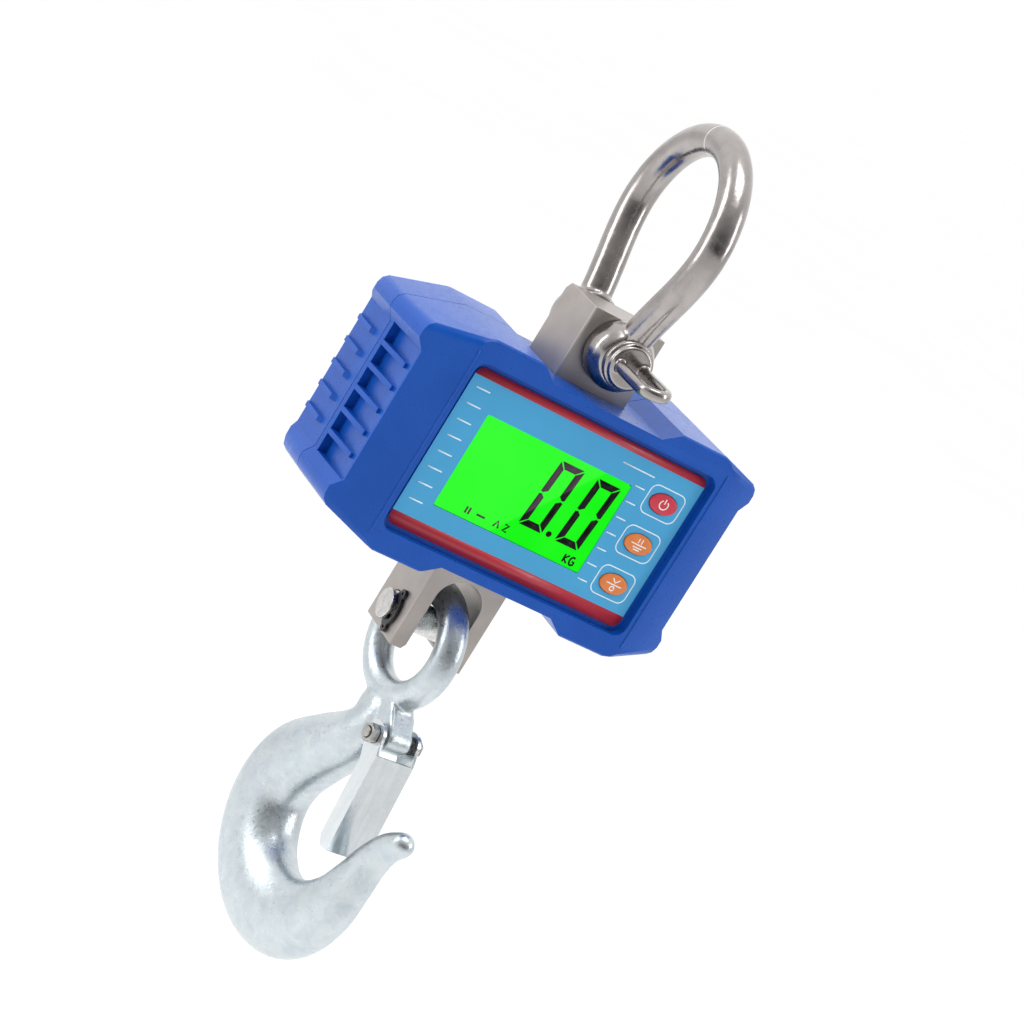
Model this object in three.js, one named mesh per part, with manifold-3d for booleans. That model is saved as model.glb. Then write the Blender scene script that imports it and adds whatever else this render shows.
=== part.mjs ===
// Crane scale: a bow shackle, a load cell in a two-shell housing with a display, and an eye hook.
// Millimetres, +Z up.  The origin is the point inside the bow's crown where a crane hook bears.
// The display faces -Y, the battery door +Y, and the load line is the Z axis.
import * as THREE from 'three';
import { mergeVertices } from 'three/addons/utils/BufferGeometryUtils.js';
import { ConvexGeometry } from 'three/addons/geometries/ConvexGeometry.js';
import Module from 'manifold-3d';

// ---------------------------------------------------------------- sizes
const GAP = 0.3;                 // between pieces that rest on each other
const RUNNING = 0.4;             // round a pin or in a guide
const OVERLAP = 0.5;             // by which joined features run into each other

// shackle
const ROD_D = 13.4;              // bow rod
const BOW_R = 37.3;              // centreline of the bow's crown
const BOW_LEAN = 2.4;            // forged set of the bow towards the front
const PIN_DROP = 84;             // inner crown to shackle pin
const EAR_D = 28;
const EAR_T = 12.5;
const EAR_GAP = 0.5;             // ear to the load cell
const PIN_D = 14;                // shackle pin
const PIN_COLLAR_D = 21;
const PIN_COLLAR_T = 5;
const SEAT_MARGIN = 0.6;         // round the pin's collar and tip
const PIN_EYE_W = 15;            // flat eye of the screw pin: width, length, thickness
const PIN_EYE_L = 35;
const PIN_EYE_T = 5;
const PIN_EYE_SIDE = 3.8;        // metal beside the slot of the eye
const PIN_EYE_END = 6.5;         // metal at the slot's ends
const PIN_EYE_ROOT = 3;          // by which the eye's plate enters the collar
const PIN_TIP = 1.2;             // chamfer at the pin's end
const COLLAR_STEP = 2.2;         // length of the collar's larger part
const EAR_WAIST = 0.62;          // share of the ear that keeps its full diameter
const EAR_TAPER = 3.4;           // fall of the ear's radius beyond that
const LEG_ROOT = 21;             // handles of the leg's curve, at the ear and at the crown
const LEG_TOP = 18;
const PIN_EYE_TURN = -10;        // degrees that the eye stands off the level

// load cell: a square-shouldered block with a fork below
const CELL_X = 35;
const CELL_Y = 31;
const CELL_ABOVE_PIN = 12.8;
const NOTCH_TO_HOOK_PIN = 32.2;  // floor of the housing's lower notch to the hook pin
const CELL_BELOW_HOOK_PIN = 10.7;
const FORK_CLEARANCE = 8.2;      // slot's width over the hook eye's rod
const FORK_ARCH_ABOVE_PIN = 25.3;
const HOOK_PIN_D = 13;
const PIN_OUT = 3.5;             // hook pin's end beyond the fork's side
const PIN_GROOVE = 0.9;          // depth of the groove that holds a clip
const CLIP_D = 19.4;
const CLIP_BAND = 1.9;
const CLIP_T = 1.2;
const CLIP_LUG_D = 4.4;
const CLIP_HALF_ANGLE = 52;      // degrees from the clip's middle to a lug

const CELL_EDGE = 0.6;           // chamfer along the block
const SLOT_FLARE = 2;            // chamfer at the fork's mouth
const CELL_WINDOW_D = 14;        // the two bores that weaken the measuring bar, and their spacing
const CELL_WINDOW_PITCH = 18;
const CELL_WINDOW_SLIT = 2.4;

// brackets that tie the load cell to the housing
const GAUGE_W = 21;              // white sealing pads over the strain gauges
const GAUGE_H = 32;
const GAUGE_T = 2.6;
const BRACKET_T = 2.5;
const BRACKET_H = 14;
const BRACKET_DROP = 33;         // housing's centre to the bracket's lower edge
const BRACKET_FRONT = -9;
const WING_REACH = 26;
const WING_BACK = 8.6;           // rear face of the brackets' wings
const BRACKET_SCREW_DROP = 26;
const BRACKET_SCREW_D = 4;
const BRACKET_SCREW_HEAD_D = 7.2;

// housing
const HOUSING_HEIGHT = 95.4;
const HOUSING_WIDTH = 170;       // over the corner bumps at the parting plane
const EAR_TO_NOTCH = 4.5;        // shackle's ear to the floor of the housing's notch
const BEZEL_TO_CELL = 37.2;      // bezel face to the load line
const PARTING = 2.8;             // behind the load line
const REAR_DEPTH = 27;           // parting plane to the rear face
const CHAMFER_W = 19;            // side chamfer, across and front to back
const CHAMFER_D = 9.2;
const BUMP_TAPER = 2.6;          // chamfer's outer edge to the parting plane
const SHOULDER_SLOPE = 0.28;
const SHOULDER_RUN = 28.2;       // flat top's end to the housing's end
const NOTCH_DEPTH = 5.4;
const NOTCH_FLOOR_HALF = 26.9;
const NOTCH_TOP_HALF = 34.7;
const WALL = 2.6;
const RELIEF = 3.2;              // grip recess below the corner bumps
const GRIP_HALF = 29;            // half height of the grip recess
const GRIP_FLANK = 4.5;
const FIN_PITCH = 10.2;
const FIN_COUNT = 5;
const FIN_TIP = 4.2;             // front of the scoop to a fin's tip
const FIN_T = 2.1;
const FIN_STAND = 1.3;           // fin's tip above the scoop's floor
const SCOOP_DEPTH = 3.9;         // at the wall beside the parting
const SCOOP_LIP = 0.5;           // at the front
const SCOOP_TO_PARTING = 3.2;
const SCOOP_TO_CHAMFER = 1.2;
const REAR_RIB_T = 2.2;
const REAR_RIB_H = 1.8;
const SCREW_BLOCK = 7.9;         // solid plastic inside a case screw's axis
const SCREW_INSET = 8.5;         // case screw from the front edge of the end
const SCREW_DROP = 5.4;          // case screw from the cavity's wall
const CASE_SCREW_D = 3;
const CASE_HOLE_D = 3.6;
const CASE_SCREW_REACH = 13;     // into the front shell
const CASE_HEAD_D = 6.2;
const CASE_HEAD_T = 2.2;
const CASE_HEAD_HOLE_D = 7.2;
const CASE_HEAD_DEPTH = 10;      // back face to the seat of the head
const CASE_BOSS_D = 8.8;
const POST_X = 40;               // post that holds the left bracket
const POST_T = 5;
const POST_H = 14;

// display window
const WINDOW_W = 119;
const WINDOW_H = 75.8;
const WINDOW_R = 5;
const WINDOW_DEPTH = 4;
const LABEL_MARGIN = 2.4;
const LABEL_T = 0.5;
const LCD_W = 70.8;
const LCD_H = 41;
const LCD_X = -7.3;              // centre, from the label's centre
const LCD_Z = -1;
const KEY_W = 13;
const KEY_H = 8.4;
const KEY_X = 44.8;
const KEY_PITCH = 19;
const KEY_TRAVEL = 0.4;
const KEY_DROP = 0.4;            // middle key below the label's centre
const KEY_STAND = 0.7;           // key's top in front of the label
const KEY_FLANGE = 1.5;          // rim that holds the key behind the label's floor
const KEY_FLANGE_T = 1;
const SWITCH_W = 6;

// display board
const BOARD_W = 112;
const BOARD_H = 68;
const BOARD_T = 1.6;
const BOARD_BEHIND_BEZEL = 10.9;
const BOARD_INSET = 4;           // board's edge to a board screw
const BOARD_BOSS_D = 6.4;
const BOARD_PILOT_D = 2.8;
const BOARD_SCREW_D = 2.2;
const BOARD_SCREW_HEAD_D = 5.2;
const CHIP_W = 24;               // plain block that stands for the board's chips
const CHIP_H = 18;
const CHIP_T = 1.8;
const CHIP_DROP = 11;            // housing's centre to the chip's centre
const SOCKET_X = -35;            // socket of the gauge lead
const SOCKET_W = 10;
const SOCKET_H = 8;
const SOCKET_T = 4.5;
const BUZZER_D = 12;
const BUZZER_T = 5.7;
const BUZZER_X = 38;
const BUZZER_RISE = 18;
const CABLE_D = 3.2;

// batteries (three size AA cells standing side by side)
const CELL_D = 14.3;
const CELL_L = 50.2;
const CELL_TIP_D = 5.4;          // positive contact of a cell
const CELL_TIP_L = 1;
const CELL_SEAT = 1.2;           // cell to the tray's back
const CONTACT_W = 9;             // width of a contact strip
const BATTERY_GAP = 0.7;         // between neighbouring cells
const TRAY_WALL = 1.4;
const TRAY_TO_CELL = 6.6;        // tray's inner side to the load cell
const TRAY_END = 2.8;            // beyond a cell's end, for the contacts
const DOOR_T = 2.2;
const DOOR_LAP = 1;              // the door is this much inside the tray's edge
const RIDGE_W = 18;              // finger ridges of the door
const RIDGE_H = 0.9;
const RIDGE_T = 1.2;
const RIDGE_PITCH = 3;
const RIDGE_RISE = 17;           // housing's centre to the middle ridge

// hook, in its own frame: a forward along the opening, b up, from the hook pin's axis
const EYE_R = 22.9;              // centreline of the eye
const EYE_ROD = 12.8;
const HOOK_TWIST = 10;           // degrees about the load line
const HOOK_TILT = 6.4;           // degrees forward, where the hook hangs at rest
const BOLT_A = 17;
const BOLT_B = -47.3;
const BOLT_D = 4.6;
const NUT_T = 3.4;
const BOLT_HEAD_T = 3;
const SPRING_WALL = 2;           // thickness of the spring's coil
const LUG_HALF = 6;              // half thickness of the lug that carries the latch bolt
// rounds the lug is drawn about: forward, up, radius
const LUG_ROUNDS = [[BOLT_A, BOLT_B, 5.6], [11.5, -39.5, 5.5], [0, -42, 9], [-1, -51, 6.5]];
const LATCH_W = 20;
const LATCH_T = 1.6;
const LATCH_EAR = 6;             // radius round the bolt
const LATCH_NECK = 6.6;          // bolt axis to the web's upper edge
const LATCH_L = 50;              // bolt to the free end
const LATCH_DEPTH = 8.6;
const LATCH_FACE = 7.6;          // bolt axis to the web's outer face

// hook body: a, b, width in the hook's plane, thickness across it
const HOOK_BODY = [
  [0, -36, 21, 14], [0, -47, 21, 17], [-7, -58, 25, 21], [-20, -69, 30, 25], [-32.5, -81, 35, 28],
  [-38, -94, 36.3, 29], [-36.8, -108.3, 37.5, 29], [-28.3, -122.8, 37.5, 28.5], [-13.3, -132.8, 37.2, 27],
  [4, -134.8, 35.5, 24], [19, -129, 32, 21], [30, -117.5, 27, 18], [36, -104, 21, 15.5],
  [40.5, -92, 16.5, 13], [46, -83, 13, 11.5], [53, -77.5, 10.5, 10.5],
];

// ---------------------------------------------------------------- derived places
const SHACKLE_PIN_Z = -PIN_DROP;
const CELL_TOP = SHACKLE_PIN_Z + CELL_ABOVE_PIN;
const BEZEL_Y = -BEZEL_TO_CELL;
const REAR_Y = PARTING + REAR_DEPTH;
const HALF_H = HOUSING_HEIGHT / 2;
const NOTCH_Z = HALF_H - NOTCH_DEPTH;
const HOUSING_Z = SHACKLE_PIN_Z - EAR_D / 2 - EAR_TO_NOTCH - NOTCH_Z;
const HOOK_PIN_Z = HOUSING_Z - NOTCH_Z - NOTCH_TO_HOOK_PIN;
const CELL_BOTTOM = HOOK_PIN_Z - CELL_BELOW_HOOK_PIN;
const HALF_W = HOUSING_WIDTH / 2;
const FLAT_HALF = HALF_W - SHOULDER_RUN;
const BUMP_FRONT_HALF = HALF_W - BUMP_TAPER;
const BEZEL_HALF = BUMP_FRONT_HALF - CHAMFER_W;
const CAVITY_HALF_H = NOTCH_Z - WALL;
const BRACKET_SCREW_Z = HOUSING_Z - BRACKET_SCREW_DROP;
const REAR_CAVITY_HALF_W = HALF_W - RELIEF - WALL - 1;
const FLOOR_Y = BEZEL_Y + WINDOW_DEPTH;
const FLOOR_BACK_Y = FLOOR_Y + WALL;
const BOARD_Y = BEZEL_Y + BOARD_BEHIND_BEZEL;
const EAR_Y = CELL_Y / 2 + EAR_GAP;
const CELL_PITCH = CELL_D + BATTERY_GAP;
const TRAY_W = 3 * CELL_PITCH + 2 * TRAY_WALL;
const TRAY_X = CELL_X / 2 + TRAY_TO_CELL + TRAY_W / 2;
const TRAY_H = CELL_L + 2 * TRAY_END;
const TRAY_BACK = REAR_Y - WALL - GAP;
const CELL_Y_AXIS = TRAY_BACK - CELL_SEAT - CELL_D / 2;
const PIN_HALF = CELL_X / 2 + PIN_OUT;
const CLIP_X = CELL_X / 2 + GAP;
const BOARD_BACK_Y = BOARD_Y + BOARD_T;
const SCREW_X = BUMP_FRONT_HALF - SCREW_INSET;
const FRONT_CAVITY_HALF_W = SCREW_X - SCREW_BLOCK;
const SCOOP_HALF = (FIN_PITCH * (FIN_COUNT + 1) - FIN_T) / 2;
const SCOOP_BACK = PARTING - SCOOP_TO_PARTING;
const SCOOP_FRONT = BEZEL_Y + CHAMFER_D * (1 - RELIEF / CHAMFER_W) + SCOOP_TO_CHAMFER;
const GRIP_CAVITY_HALF_W = BUMP_FRONT_HALF - RELIEF - SCOOP_DEPTH - WALL;
const SCREW_Z = CAVITY_HALF_H - SCREW_DROP;
const FORK_SLOT = EYE_ROD + FORK_CLEARANCE;
const EYE_B = HOOK_PIN_D / 2 + EYE_ROD / 2 + GAP - EYE_R;
const TAU = Math.PI * 2;

// ---------------------------------------------------------------- solids
const wasm = await Module();
wasm.setup();

function solid(geometry) {
  const bare = new THREE.BufferGeometry();
  bare.setAttribute('position', geometry.getAttribute('position').clone());
  if (geometry.index) bare.setIndex(geometry.index.clone());
  const merged = mergeVertices(bare, 1e-4);
  const vertProperties = new Float32Array(merged.getAttribute('position').array);
  const triVerts = new Uint32Array(merged.index.array);
  return new wasm.Manifold(new wasm.Mesh({ numProp: 3, vertProperties, triVerts }));
}

function geometryOf(manifold) {
  const mesh = manifold.getMesh();
  const geometry = new THREE.BufferGeometry();
  geometry.setAttribute('position', new THREE.BufferAttribute(new Float32Array(mesh.vertProperties), 3));
  geometry.setIndex(new THREE.BufferAttribute(new Uint32Array(mesh.triVerts), 1));
  return geometry;
}

const join = (...solids) => solids.reduce((whole, piece) => whole.add(piece));
const cut = (body, ...tools) => tools.reduce((rest, tool) => rest.subtract(tool), body);

function box(x0, x1, y0, y1, z0, z1) {
  const geometry = new THREE.BoxGeometry(x1 - x0, y1 - y0, z1 - z0);
  geometry.translate((x0 + x1) / 2, (y0 + y1) / 2, (z0 + z1) / 2);
  return solid(geometry);
}

// cylinder along 'x', 'y' or 'z' from one coordinate to another; u and v are the other two, in order
function rod(axis, radius, from, to, u, v, sides = 24, radiusTo = radius) {
  const geometry = new THREE.CylinderGeometry(radiusTo, radius, to - from, sides);
  const middle = (from + to) / 2;
  if (axis === 'x') geometry.rotateZ(-Math.PI / 2).translate(middle, u, v);
  if (axis === 'y') geometry.translate(u, middle, v);
  if (axis === 'z') geometry.rotateX(Math.PI / 2).translate(u, v, middle);
  return solid(geometry);
}

function extrude(shape, depth, curveSegments) {
  return new THREE.ExtrudeGeometry(shape, { depth, bevelEnabled: false, curveSegments });
}

// outline drawn in (x, z), carried along y
function slabXZ(shape, y0, y1, segments = 6) {
  const geometry = extrude(shape, y1 - y0, segments);
  geometry.rotateX(Math.PI / 2).translate(0, y1, 0);
  return solid(geometry);
}

// outline drawn in (x, y), carried along z
function slabXY(shape, z0, z1, segments = 6) {
  const geometry = extrude(shape, z1 - z0, segments);
  geometry.translate(0, 0, z0);
  return solid(geometry);
}

// outline drawn in (y, z), carried along x
function slabYZ(shape, x0, x1, segments = 6) {
  const geometry = extrude(shape, x1 - x0, segments);
  const basis = new THREE.Matrix4().makeBasis(
    new THREE.Vector3(0, 1, 0), new THREE.Vector3(0, 0, 1), new THREE.Vector3(1, 0, 0));
  geometry.applyMatrix4(basis).translate(x0, 0, 0);
  return solid(geometry);
}

const polygon = (points) => new THREE.Shape(points.map(([u, v]) => new THREE.Vector2(u, v)));
const hull = (points) => solid(new ConvexGeometry(points.map((p) => new THREE.Vector3(...p))));

function roundedRectangle(width, height, radius, cu = 0, cv = 0) {
  const u = width / 2;
  const v = height / 2;
  const shape = new THREE.Shape();
  shape.moveTo(cu - u + radius, cv - v);
  shape.lineTo(cu + u - radius, cv - v);
  shape.absarc(cu + u - radius, cv - v + radius, radius, -TAU / 4, 0);
  shape.lineTo(cu + u, cv + v - radius);
  shape.absarc(cu + u - radius, cv + v - radius, radius, 0, TAU / 4);
  shape.lineTo(cu - u + radius, cv + v);
  shape.absarc(cu - u + radius, cv + v - radius, radius, TAU / 4, TAU / 2);
  shape.lineTo(cu - u, cv - v + radius);
  shape.absarc(cu - u + radius, cv - v + radius, radius, TAU / 2, TAU * 0.75);
  return shape;
}

function ellipse(width, height, cu, cv) {
  const shape = new THREE.Shape();
  shape.absellipse(cu, cv, width / 2, height / 2, 0, TAU, false, 0);
  return shape;
}

// skin over rings of points, closed by a fan at each end
function skin(rings) {
  const sides = rings[0].length;
  const positions = rings.flat().flatMap((p) => [p.x, p.y, p.z]);
  const index = [];
  for (let ring = 0; ring < rings.length - 1; ring += 1) {
    for (let side = 0; side < sides; side += 1) {
      const a = ring * sides + side;
      const b = ring * sides + ((side + 1) % sides);
      index.push(a, b, b + sides, a, b + sides, a + sides);
    }
  }
  for (const [ring, turned] of [[0, true], [rings.length - 1, false]]) {
    const middle = rings[ring].reduce((sum, p) => sum.add(p), new THREE.Vector3()).divideScalar(sides);
    const centre = positions.length / 3;
    positions.push(middle.x, middle.y, middle.z);
    for (let side = 0; side < sides; side += 1) {
      const a = ring * sides + side;
      const b = ring * sides + ((side + 1) % sides);
      index.push(...(turned ? [centre, b, a] : [centre, a, b]));
    }
  }
  const geometry = new THREE.BufferGeometry();
  geometry.setAttribute('position', new THREE.Float32BufferAttribute(positions, 3));
  geometry.setIndex(index);
  return solid(geometry);
}

// round or oval bar along a plane curve in (y, z): each station has its width in the plane and
// its thickness along x
function planeBar(stations, sides) {
  const rings = stations.map((station, i) => {
    const before = stations[Math.max(i - 1, 0)].point;
    const after = stations[Math.min(i + 1, stations.length - 1)].point;
    const along = new THREE.Vector3().subVectors(after, before).normalize();
    const across = new THREE.Vector3(0, -along.z, along.y);
    return Array.from({ length: sides }, (_, k) => {
      const angle = (k / sides) * TAU;
      return station.point.clone()
        .addScaledVector(across, (Math.cos(angle) * station.width) / 2)
        .add(new THREE.Vector3((Math.sin(angle) * station.thick) / 2, 0, 0));
    });
  });
  return skin(rings);
}

const object = new THREE.Group();

const FINISH = {
  stainless: { color: 0xbfc0c2, roughness: 0.12, metalness: 1 },
  nickel: { color: 0xb7aca6, roughness: 0.45, metalness: 0.9 },
  blue: { color: 0x1b4fa8, roughness: 0.25, metalness: 0 },
  label: { color: 0x4ba3cf, roughness: 0.3, metalness: 0 },
  glass: { color: 0x20f020, roughness: 0.1, metalness: 0 },
  white: { color: 0xe8ece6, roughness: 0.5, metalness: 0 },
  board: { color: 0x14592c, roughness: 0.5, metalness: 0 },
  black: { color: 0x17181a, roughness: 0.5, metalness: 0 },
  red: { color: 0xc8323a, roughness: 0.35, metalness: 0 },
  orange: { color: 0xe58a3a, roughness: 0.35, metalness: 0 },
  zinc: { color: 0xc3ccd1, roughness: 0.32, metalness: 0.95 },
  steel: { color: 0x8d8f92, roughness: 0.35, metalness: 1 },
  battery: { color: 0x35383c, roughness: 0.35, metalness: 0.3 },
  cable: { color: 0x3a3c40, roughness: 0.6, metalness: 0 },
};

function place(name, manifold, finish, parent = object) {
  const mesh = new THREE.Mesh(geometryOf(manifold), new THREE.MeshStandardMaterial(FINISH[finish]));
  mesh.name = name;
  parent.add(mesh);
  return mesh;
}

// ---------------------------------------------------------------- shackle
function shackleBow() {
  const crownZ = -(BOW_R - ROD_D / 2);
  const earY = EAR_Y + EAR_T / 2;
  const legPoints = (side) => new THREE.CubicBezierCurve3(
    new THREE.Vector3(0, side * earY, SHACKLE_PIN_Z),
    new THREE.Vector3(0, side * (earY + 1.5) - BOW_LEAN / 2, SHACKLE_PIN_Z + LEG_ROOT),
    new THREE.Vector3(0, side * BOW_R - BOW_LEAN, crownZ - LEG_TOP),
    new THREE.Vector3(0, side * BOW_R - BOW_LEAN, crownZ)).getPoints(9).slice(1);
  const archSteps = 20;
  const arch = Array.from({ length: archSteps - 1 }, (_, i) => {
    const angle = ((i + 1) / archSteps) * Math.PI;
    return new THREE.Vector3(0, -BOW_R * Math.cos(angle) - BOW_LEAN, crownZ + BOW_R * Math.sin(angle));
  });
  const path = [...legPoints(-1), ...arch, ...legPoints(1).reverse()];
  const bow = planeBar(path.map((point) => ({ point, width: ROD_D, thick: ROD_D })), 16);
  const ear = (side) => {
    const inner = side * EAR_Y;
    const outer = side * (EAR_Y + EAR_T);
    const waist = side * (EAR_Y + EAR_T * EAR_WAIST);
    return side > 0
      ? rod('y', EAR_D / 2, inner, waist, 0, SHACKLE_PIN_Z, 32)
        .add(rod('y', EAR_D / 2, waist, outer, 0, SHACKLE_PIN_Z, 32, EAR_D / 2 - EAR_TAPER))
      : rod('y', EAR_D / 2, waist, inner, 0, SHACKLE_PIN_Z, 32)
        .add(rod('y', EAR_D / 2 - EAR_TAPER, outer, waist, 0, SHACKLE_PIN_Z, 32, EAR_D / 2));
  };
  const between = box(-EAR_D, EAR_D, -EAR_Y, EAR_Y, SHACKLE_PIN_Z - EAR_D, CELL_TOP + 4);
  const bore = rod('y', PIN_D / 2 + GAP, -CELL_Y * 2, CELL_Y * 2, 0, SHACKLE_PIN_Z, 28);
  const seats = [-1, 1].map((side) => {
    const [y0, y1] = side > 0 ? [EAR_Y + EAR_T, 2 * CELL_Y] : [-2 * CELL_Y, -EAR_Y - EAR_T];
    return rod('y', PIN_COLLAR_D / 2 + SEAT_MARGIN, y0, y1, 0, SHACKLE_PIN_Z, 32);
  });
  return cut(join(bow, ear(1), ear(-1)), between, bore, ...seats);
}

function shacklePin() {
  const front = -(EAR_Y + EAR_T + GAP);
  const back = EAR_Y + EAR_T + 1;
  const neck = front - PIN_COLLAR_T;
  const shaft = rod('y', PIN_D / 2, front - 1, back - PIN_TIP, 0, SHACKLE_PIN_Z, 28)
    .add(rod('y', PIN_D / 2, back - PIN_TIP, back, 0, SHACKLE_PIN_Z, 28, PIN_D / 2 - PIN_TIP));
  const collar = rod('y', PIN_COLLAR_D / 2, neck + COLLAR_STEP, front, 0, SHACKLE_PIN_Z, 32)
    .add(rod('y', PIN_COLLAR_D / 2 - 1.5, neck, neck + COLLAR_STEP, 0, SHACKLE_PIN_Z, 32));
  const middle = neck - PIN_EYE_L / 2 + PIN_EYE_ROOT;
  const plate = roundedRectangle(PIN_EYE_W, PIN_EYE_L, PIN_EYE_W / 2 - 0.1, 0, middle);
  const slotW = PIN_EYE_W - 2 * PIN_EYE_SIDE;
  const slotL = PIN_EYE_L - 2 * PIN_EYE_END;
  const hole = roundedRectangle(slotW, slotL, slotW / 2 - 0.1, 0, middle - 2);
  const eye = slabXY(plate, -PIN_EYE_T / 2, PIN_EYE_T / 2, 8)
    .subtract(slabXY(hole, -PIN_EYE_T, PIN_EYE_T, 8))
    .subtract(box(-PIN_EYE_W, PIN_EYE_W, neck + 0.5, front, -PIN_EYE_T, PIN_EYE_T));
  const turned = eye.rotate([0, PIN_EYE_TURN, 0]).translate([0, 0, SHACKLE_PIN_Z]);
  return join(shaft, collar, turned);
}

// ---------------------------------------------------------------- load cell and fork
function loadCell() {
  const halfX = CELL_X / 2;
  const halfY = CELL_Y / 2;
  const edge = CELL_EDGE;
  const section = polygon([
    [-halfX + edge, -halfY], [halfX - edge, -halfY], [halfX, -halfY + edge], [halfX, halfY - edge],
    [halfX - edge, halfY], [-halfX + edge, halfY], [-halfX, halfY - edge], [-halfX, -halfY + edge]]);
  const rearBevel = hull([-CELL_X, CELL_X].flatMap((x) => [
    [x, halfY - 4, CELL_TOP + 1], [x, halfY + 1, CELL_TOP - 4.5], [x, halfY + 1, CELL_TOP + 1]]));
  const block = slabXY(section, CELL_BOTTOM, CELL_TOP).subtract(rearBevel);
  const archTop = HOOK_PIN_Z + FORK_ARCH_ABOVE_PIN;
  const archCentre = archTop - FORK_SLOT / 2;
  const slot = new THREE.Shape();
  slot.moveTo(-FORK_SLOT / 2 - SLOT_FLARE, CELL_BOTTOM - 1);
  slot.lineTo(FORK_SLOT / 2 + SLOT_FLARE, CELL_BOTTOM - 1);
  slot.lineTo(FORK_SLOT / 2, CELL_BOTTOM + 2.4);
  slot.lineTo(FORK_SLOT / 2, archCentre);
  slot.absarc(0, archCentre, FORK_SLOT / 2, 0, Math.PI);
  slot.lineTo(-FORK_SLOT / 2, CELL_BOTTOM + 2.4);
  const bore = rod('y', PIN_D / 2 + RUNNING, -CELL_Y, CELL_Y, 0, SHACKLE_PIN_Z, 28);
  const pinBore = rod('x', HOOK_PIN_D / 2 + GAP, -CELL_X, CELL_X, 0, HOOK_PIN_Z, 28);
  const reach = CELL_WINDOW_PITCH / 2;
  const slit = CELL_WINDOW_SLIT / 2;
  const window = rod('y', CELL_WINDOW_D / 2, -CELL_Y, CELL_Y, 0, HOUSING_Z + reach, 24)
    .add(rod('y', CELL_WINDOW_D / 2, -CELL_Y, CELL_Y, 0, HOUSING_Z - reach, 24))
    .add(box(-slit, slit, -CELL_Y, CELL_Y, HOUSING_Z - reach, HOUSING_Z + reach));
  const screws = [-1, 1].map((side) => {
    const from = side > 0 ? halfX - 8 : -halfX - 1;
    return rod('x', BRACKET_SCREW_D / 2 + GAP, from, from + 9, 0, BRACKET_SCREW_Z, 16);
  });
  return cut(block, slabXZ(slot, -CELL_Y, CELL_Y, 10), bore, pinBore, window, ...screws);
}

function gaugeCover(side) {
  const near = CELL_X / 2 + GAP;
  const far = near + GAUGE_T;
  const shape = roundedRectangle(GAUGE_W, GAUGE_H, 2.5, 0, HOUSING_Z);
  return slabYZ(shape, side > 0 ? near : -far, side > 0 ? far : -near, 3);
}

function cellBracket(side) {
  const near = CELL_X / 2 + GAP;
  const plate = [near, near + BRACKET_T];
  const wing = [near, near + WING_REACH];
  const [p0, p1] = side > 0 ? plate : [-plate[1], -plate[0]];
  const [w0, w1] = side > 0 ? wing : [-wing[1], -wing[0]];
  const z0 = HOUSING_Z - BRACKET_DROP;
  const z1 = z0 + BRACKET_H;
  const body = box(p0, p1, BRACKET_FRONT, WING_BACK, z0, z1)
    .add(box(w0, w1, WING_BACK - BRACKET_T, WING_BACK, z0, z1));
  const from = Math.min(p0, w0) - 1;
  const to = Math.max(p1, w1) + 1;
  return body.subtract(rod('x', BRACKET_SCREW_D / 2 + RUNNING, from, to, 0, BRACKET_SCREW_Z, 16));
}

function bracketScrew(side) {
  const inner = CELL_X / 2 - 7;
  const outer = CELL_X / 2 + BRACKET_T + 2 * GAP;
  const end = outer + 2.6;
  const radius = BRACKET_SCREW_D / 2;
  const head = BRACKET_SCREW_HEAD_D / 2;
  return side > 0
    ? rod('x', radius, inner, outer + 1, 0, BRACKET_SCREW_Z, 16)
      .add(rod('x', head, outer, end, 0, BRACKET_SCREW_Z, 20))
    : rod('x', radius, -outer - 1, -inner, 0, BRACKET_SCREW_Z, 16)
      .add(rod('x', head, -end, -outer, 0, BRACKET_SCREW_Z, 20));
}

// ---------------------------------------------------------------- housing
// the front-view outline at one depth, as points for a hull
function sectionPoints(halfWidth, y, inset = 0) {
  const top = HALF_H - inset;
  const endZ = top - SHOULDER_SLOPE * (halfWidth - FLAT_HALF);
  const corner = Math.min(3, (halfWidth - FLAT_HALF) / 2);
  const points = [];
  for (const sx of [-1, 1]) {
    for (const sz of [-1, 1]) {
      points.push([sx * FLAT_HALF, y, HOUSING_Z + sz * top]);
      points.push([sx * (halfWidth - corner), y, HOUSING_Z + sz * (endZ + SHOULDER_SLOPE * corner)]);
      points.push([sx * (halfWidth - corner * 0.3), y, HOUSING_Z + sz * (endZ - corner * 0.3)]);
      points.push([sx * halfWidth, y, HOUSING_Z + sz * (endZ - corner * 1.2)]);
    }
  }
  return points;
}

function notchShape(sign) {
  const over = HALF_H + 4;
  const run = ((NOTCH_TOP_HALF - NOTCH_FLOOR_HALF) / NOTCH_DEPTH) * 4;
  const points = [
    [-NOTCH_FLOOR_HALF, NOTCH_Z], [NOTCH_FLOOR_HALF, NOTCH_Z],
    [NOTCH_TOP_HALF + run, over], [-NOTCH_TOP_HALF - run, over]];
  return polygon(points.map(([x, z]) => [x * sign, HOUSING_Z + z * sign]));
}

// grip surface, half width at depth y: flush with the bumps less the relief
const gripHalf = (y) => {
  const lean = BUMP_TAPER / (PARTING - BEZEL_Y - CHAMFER_D);
  return HALF_W - RELIEF - lean * Math.max(PARTING - y, 0);
};

function gripRelief(side, y0, y1) {
  const out = HALF_W + 12;
  const points = [];
  for (const y of [y0, y1]) {
    const x = gripHalf(y);
    const flare = (GRIP_FLANK / RELIEF) * (out - x);
    for (const sz of [-1, 1]) {
      points.push([side * x, y, HOUSING_Z + sz * GRIP_HALF]);
      points.push([side * out, y, HOUSING_Z + sz * (GRIP_HALF + flare)]);
    }
  }
  return hull(points);
}

const finZ = Array.from({ length: FIN_COUNT }, (_, i) => HOUSING_Z + (i - (FIN_COUNT - 1) / 2) * FIN_PITCH);

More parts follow.
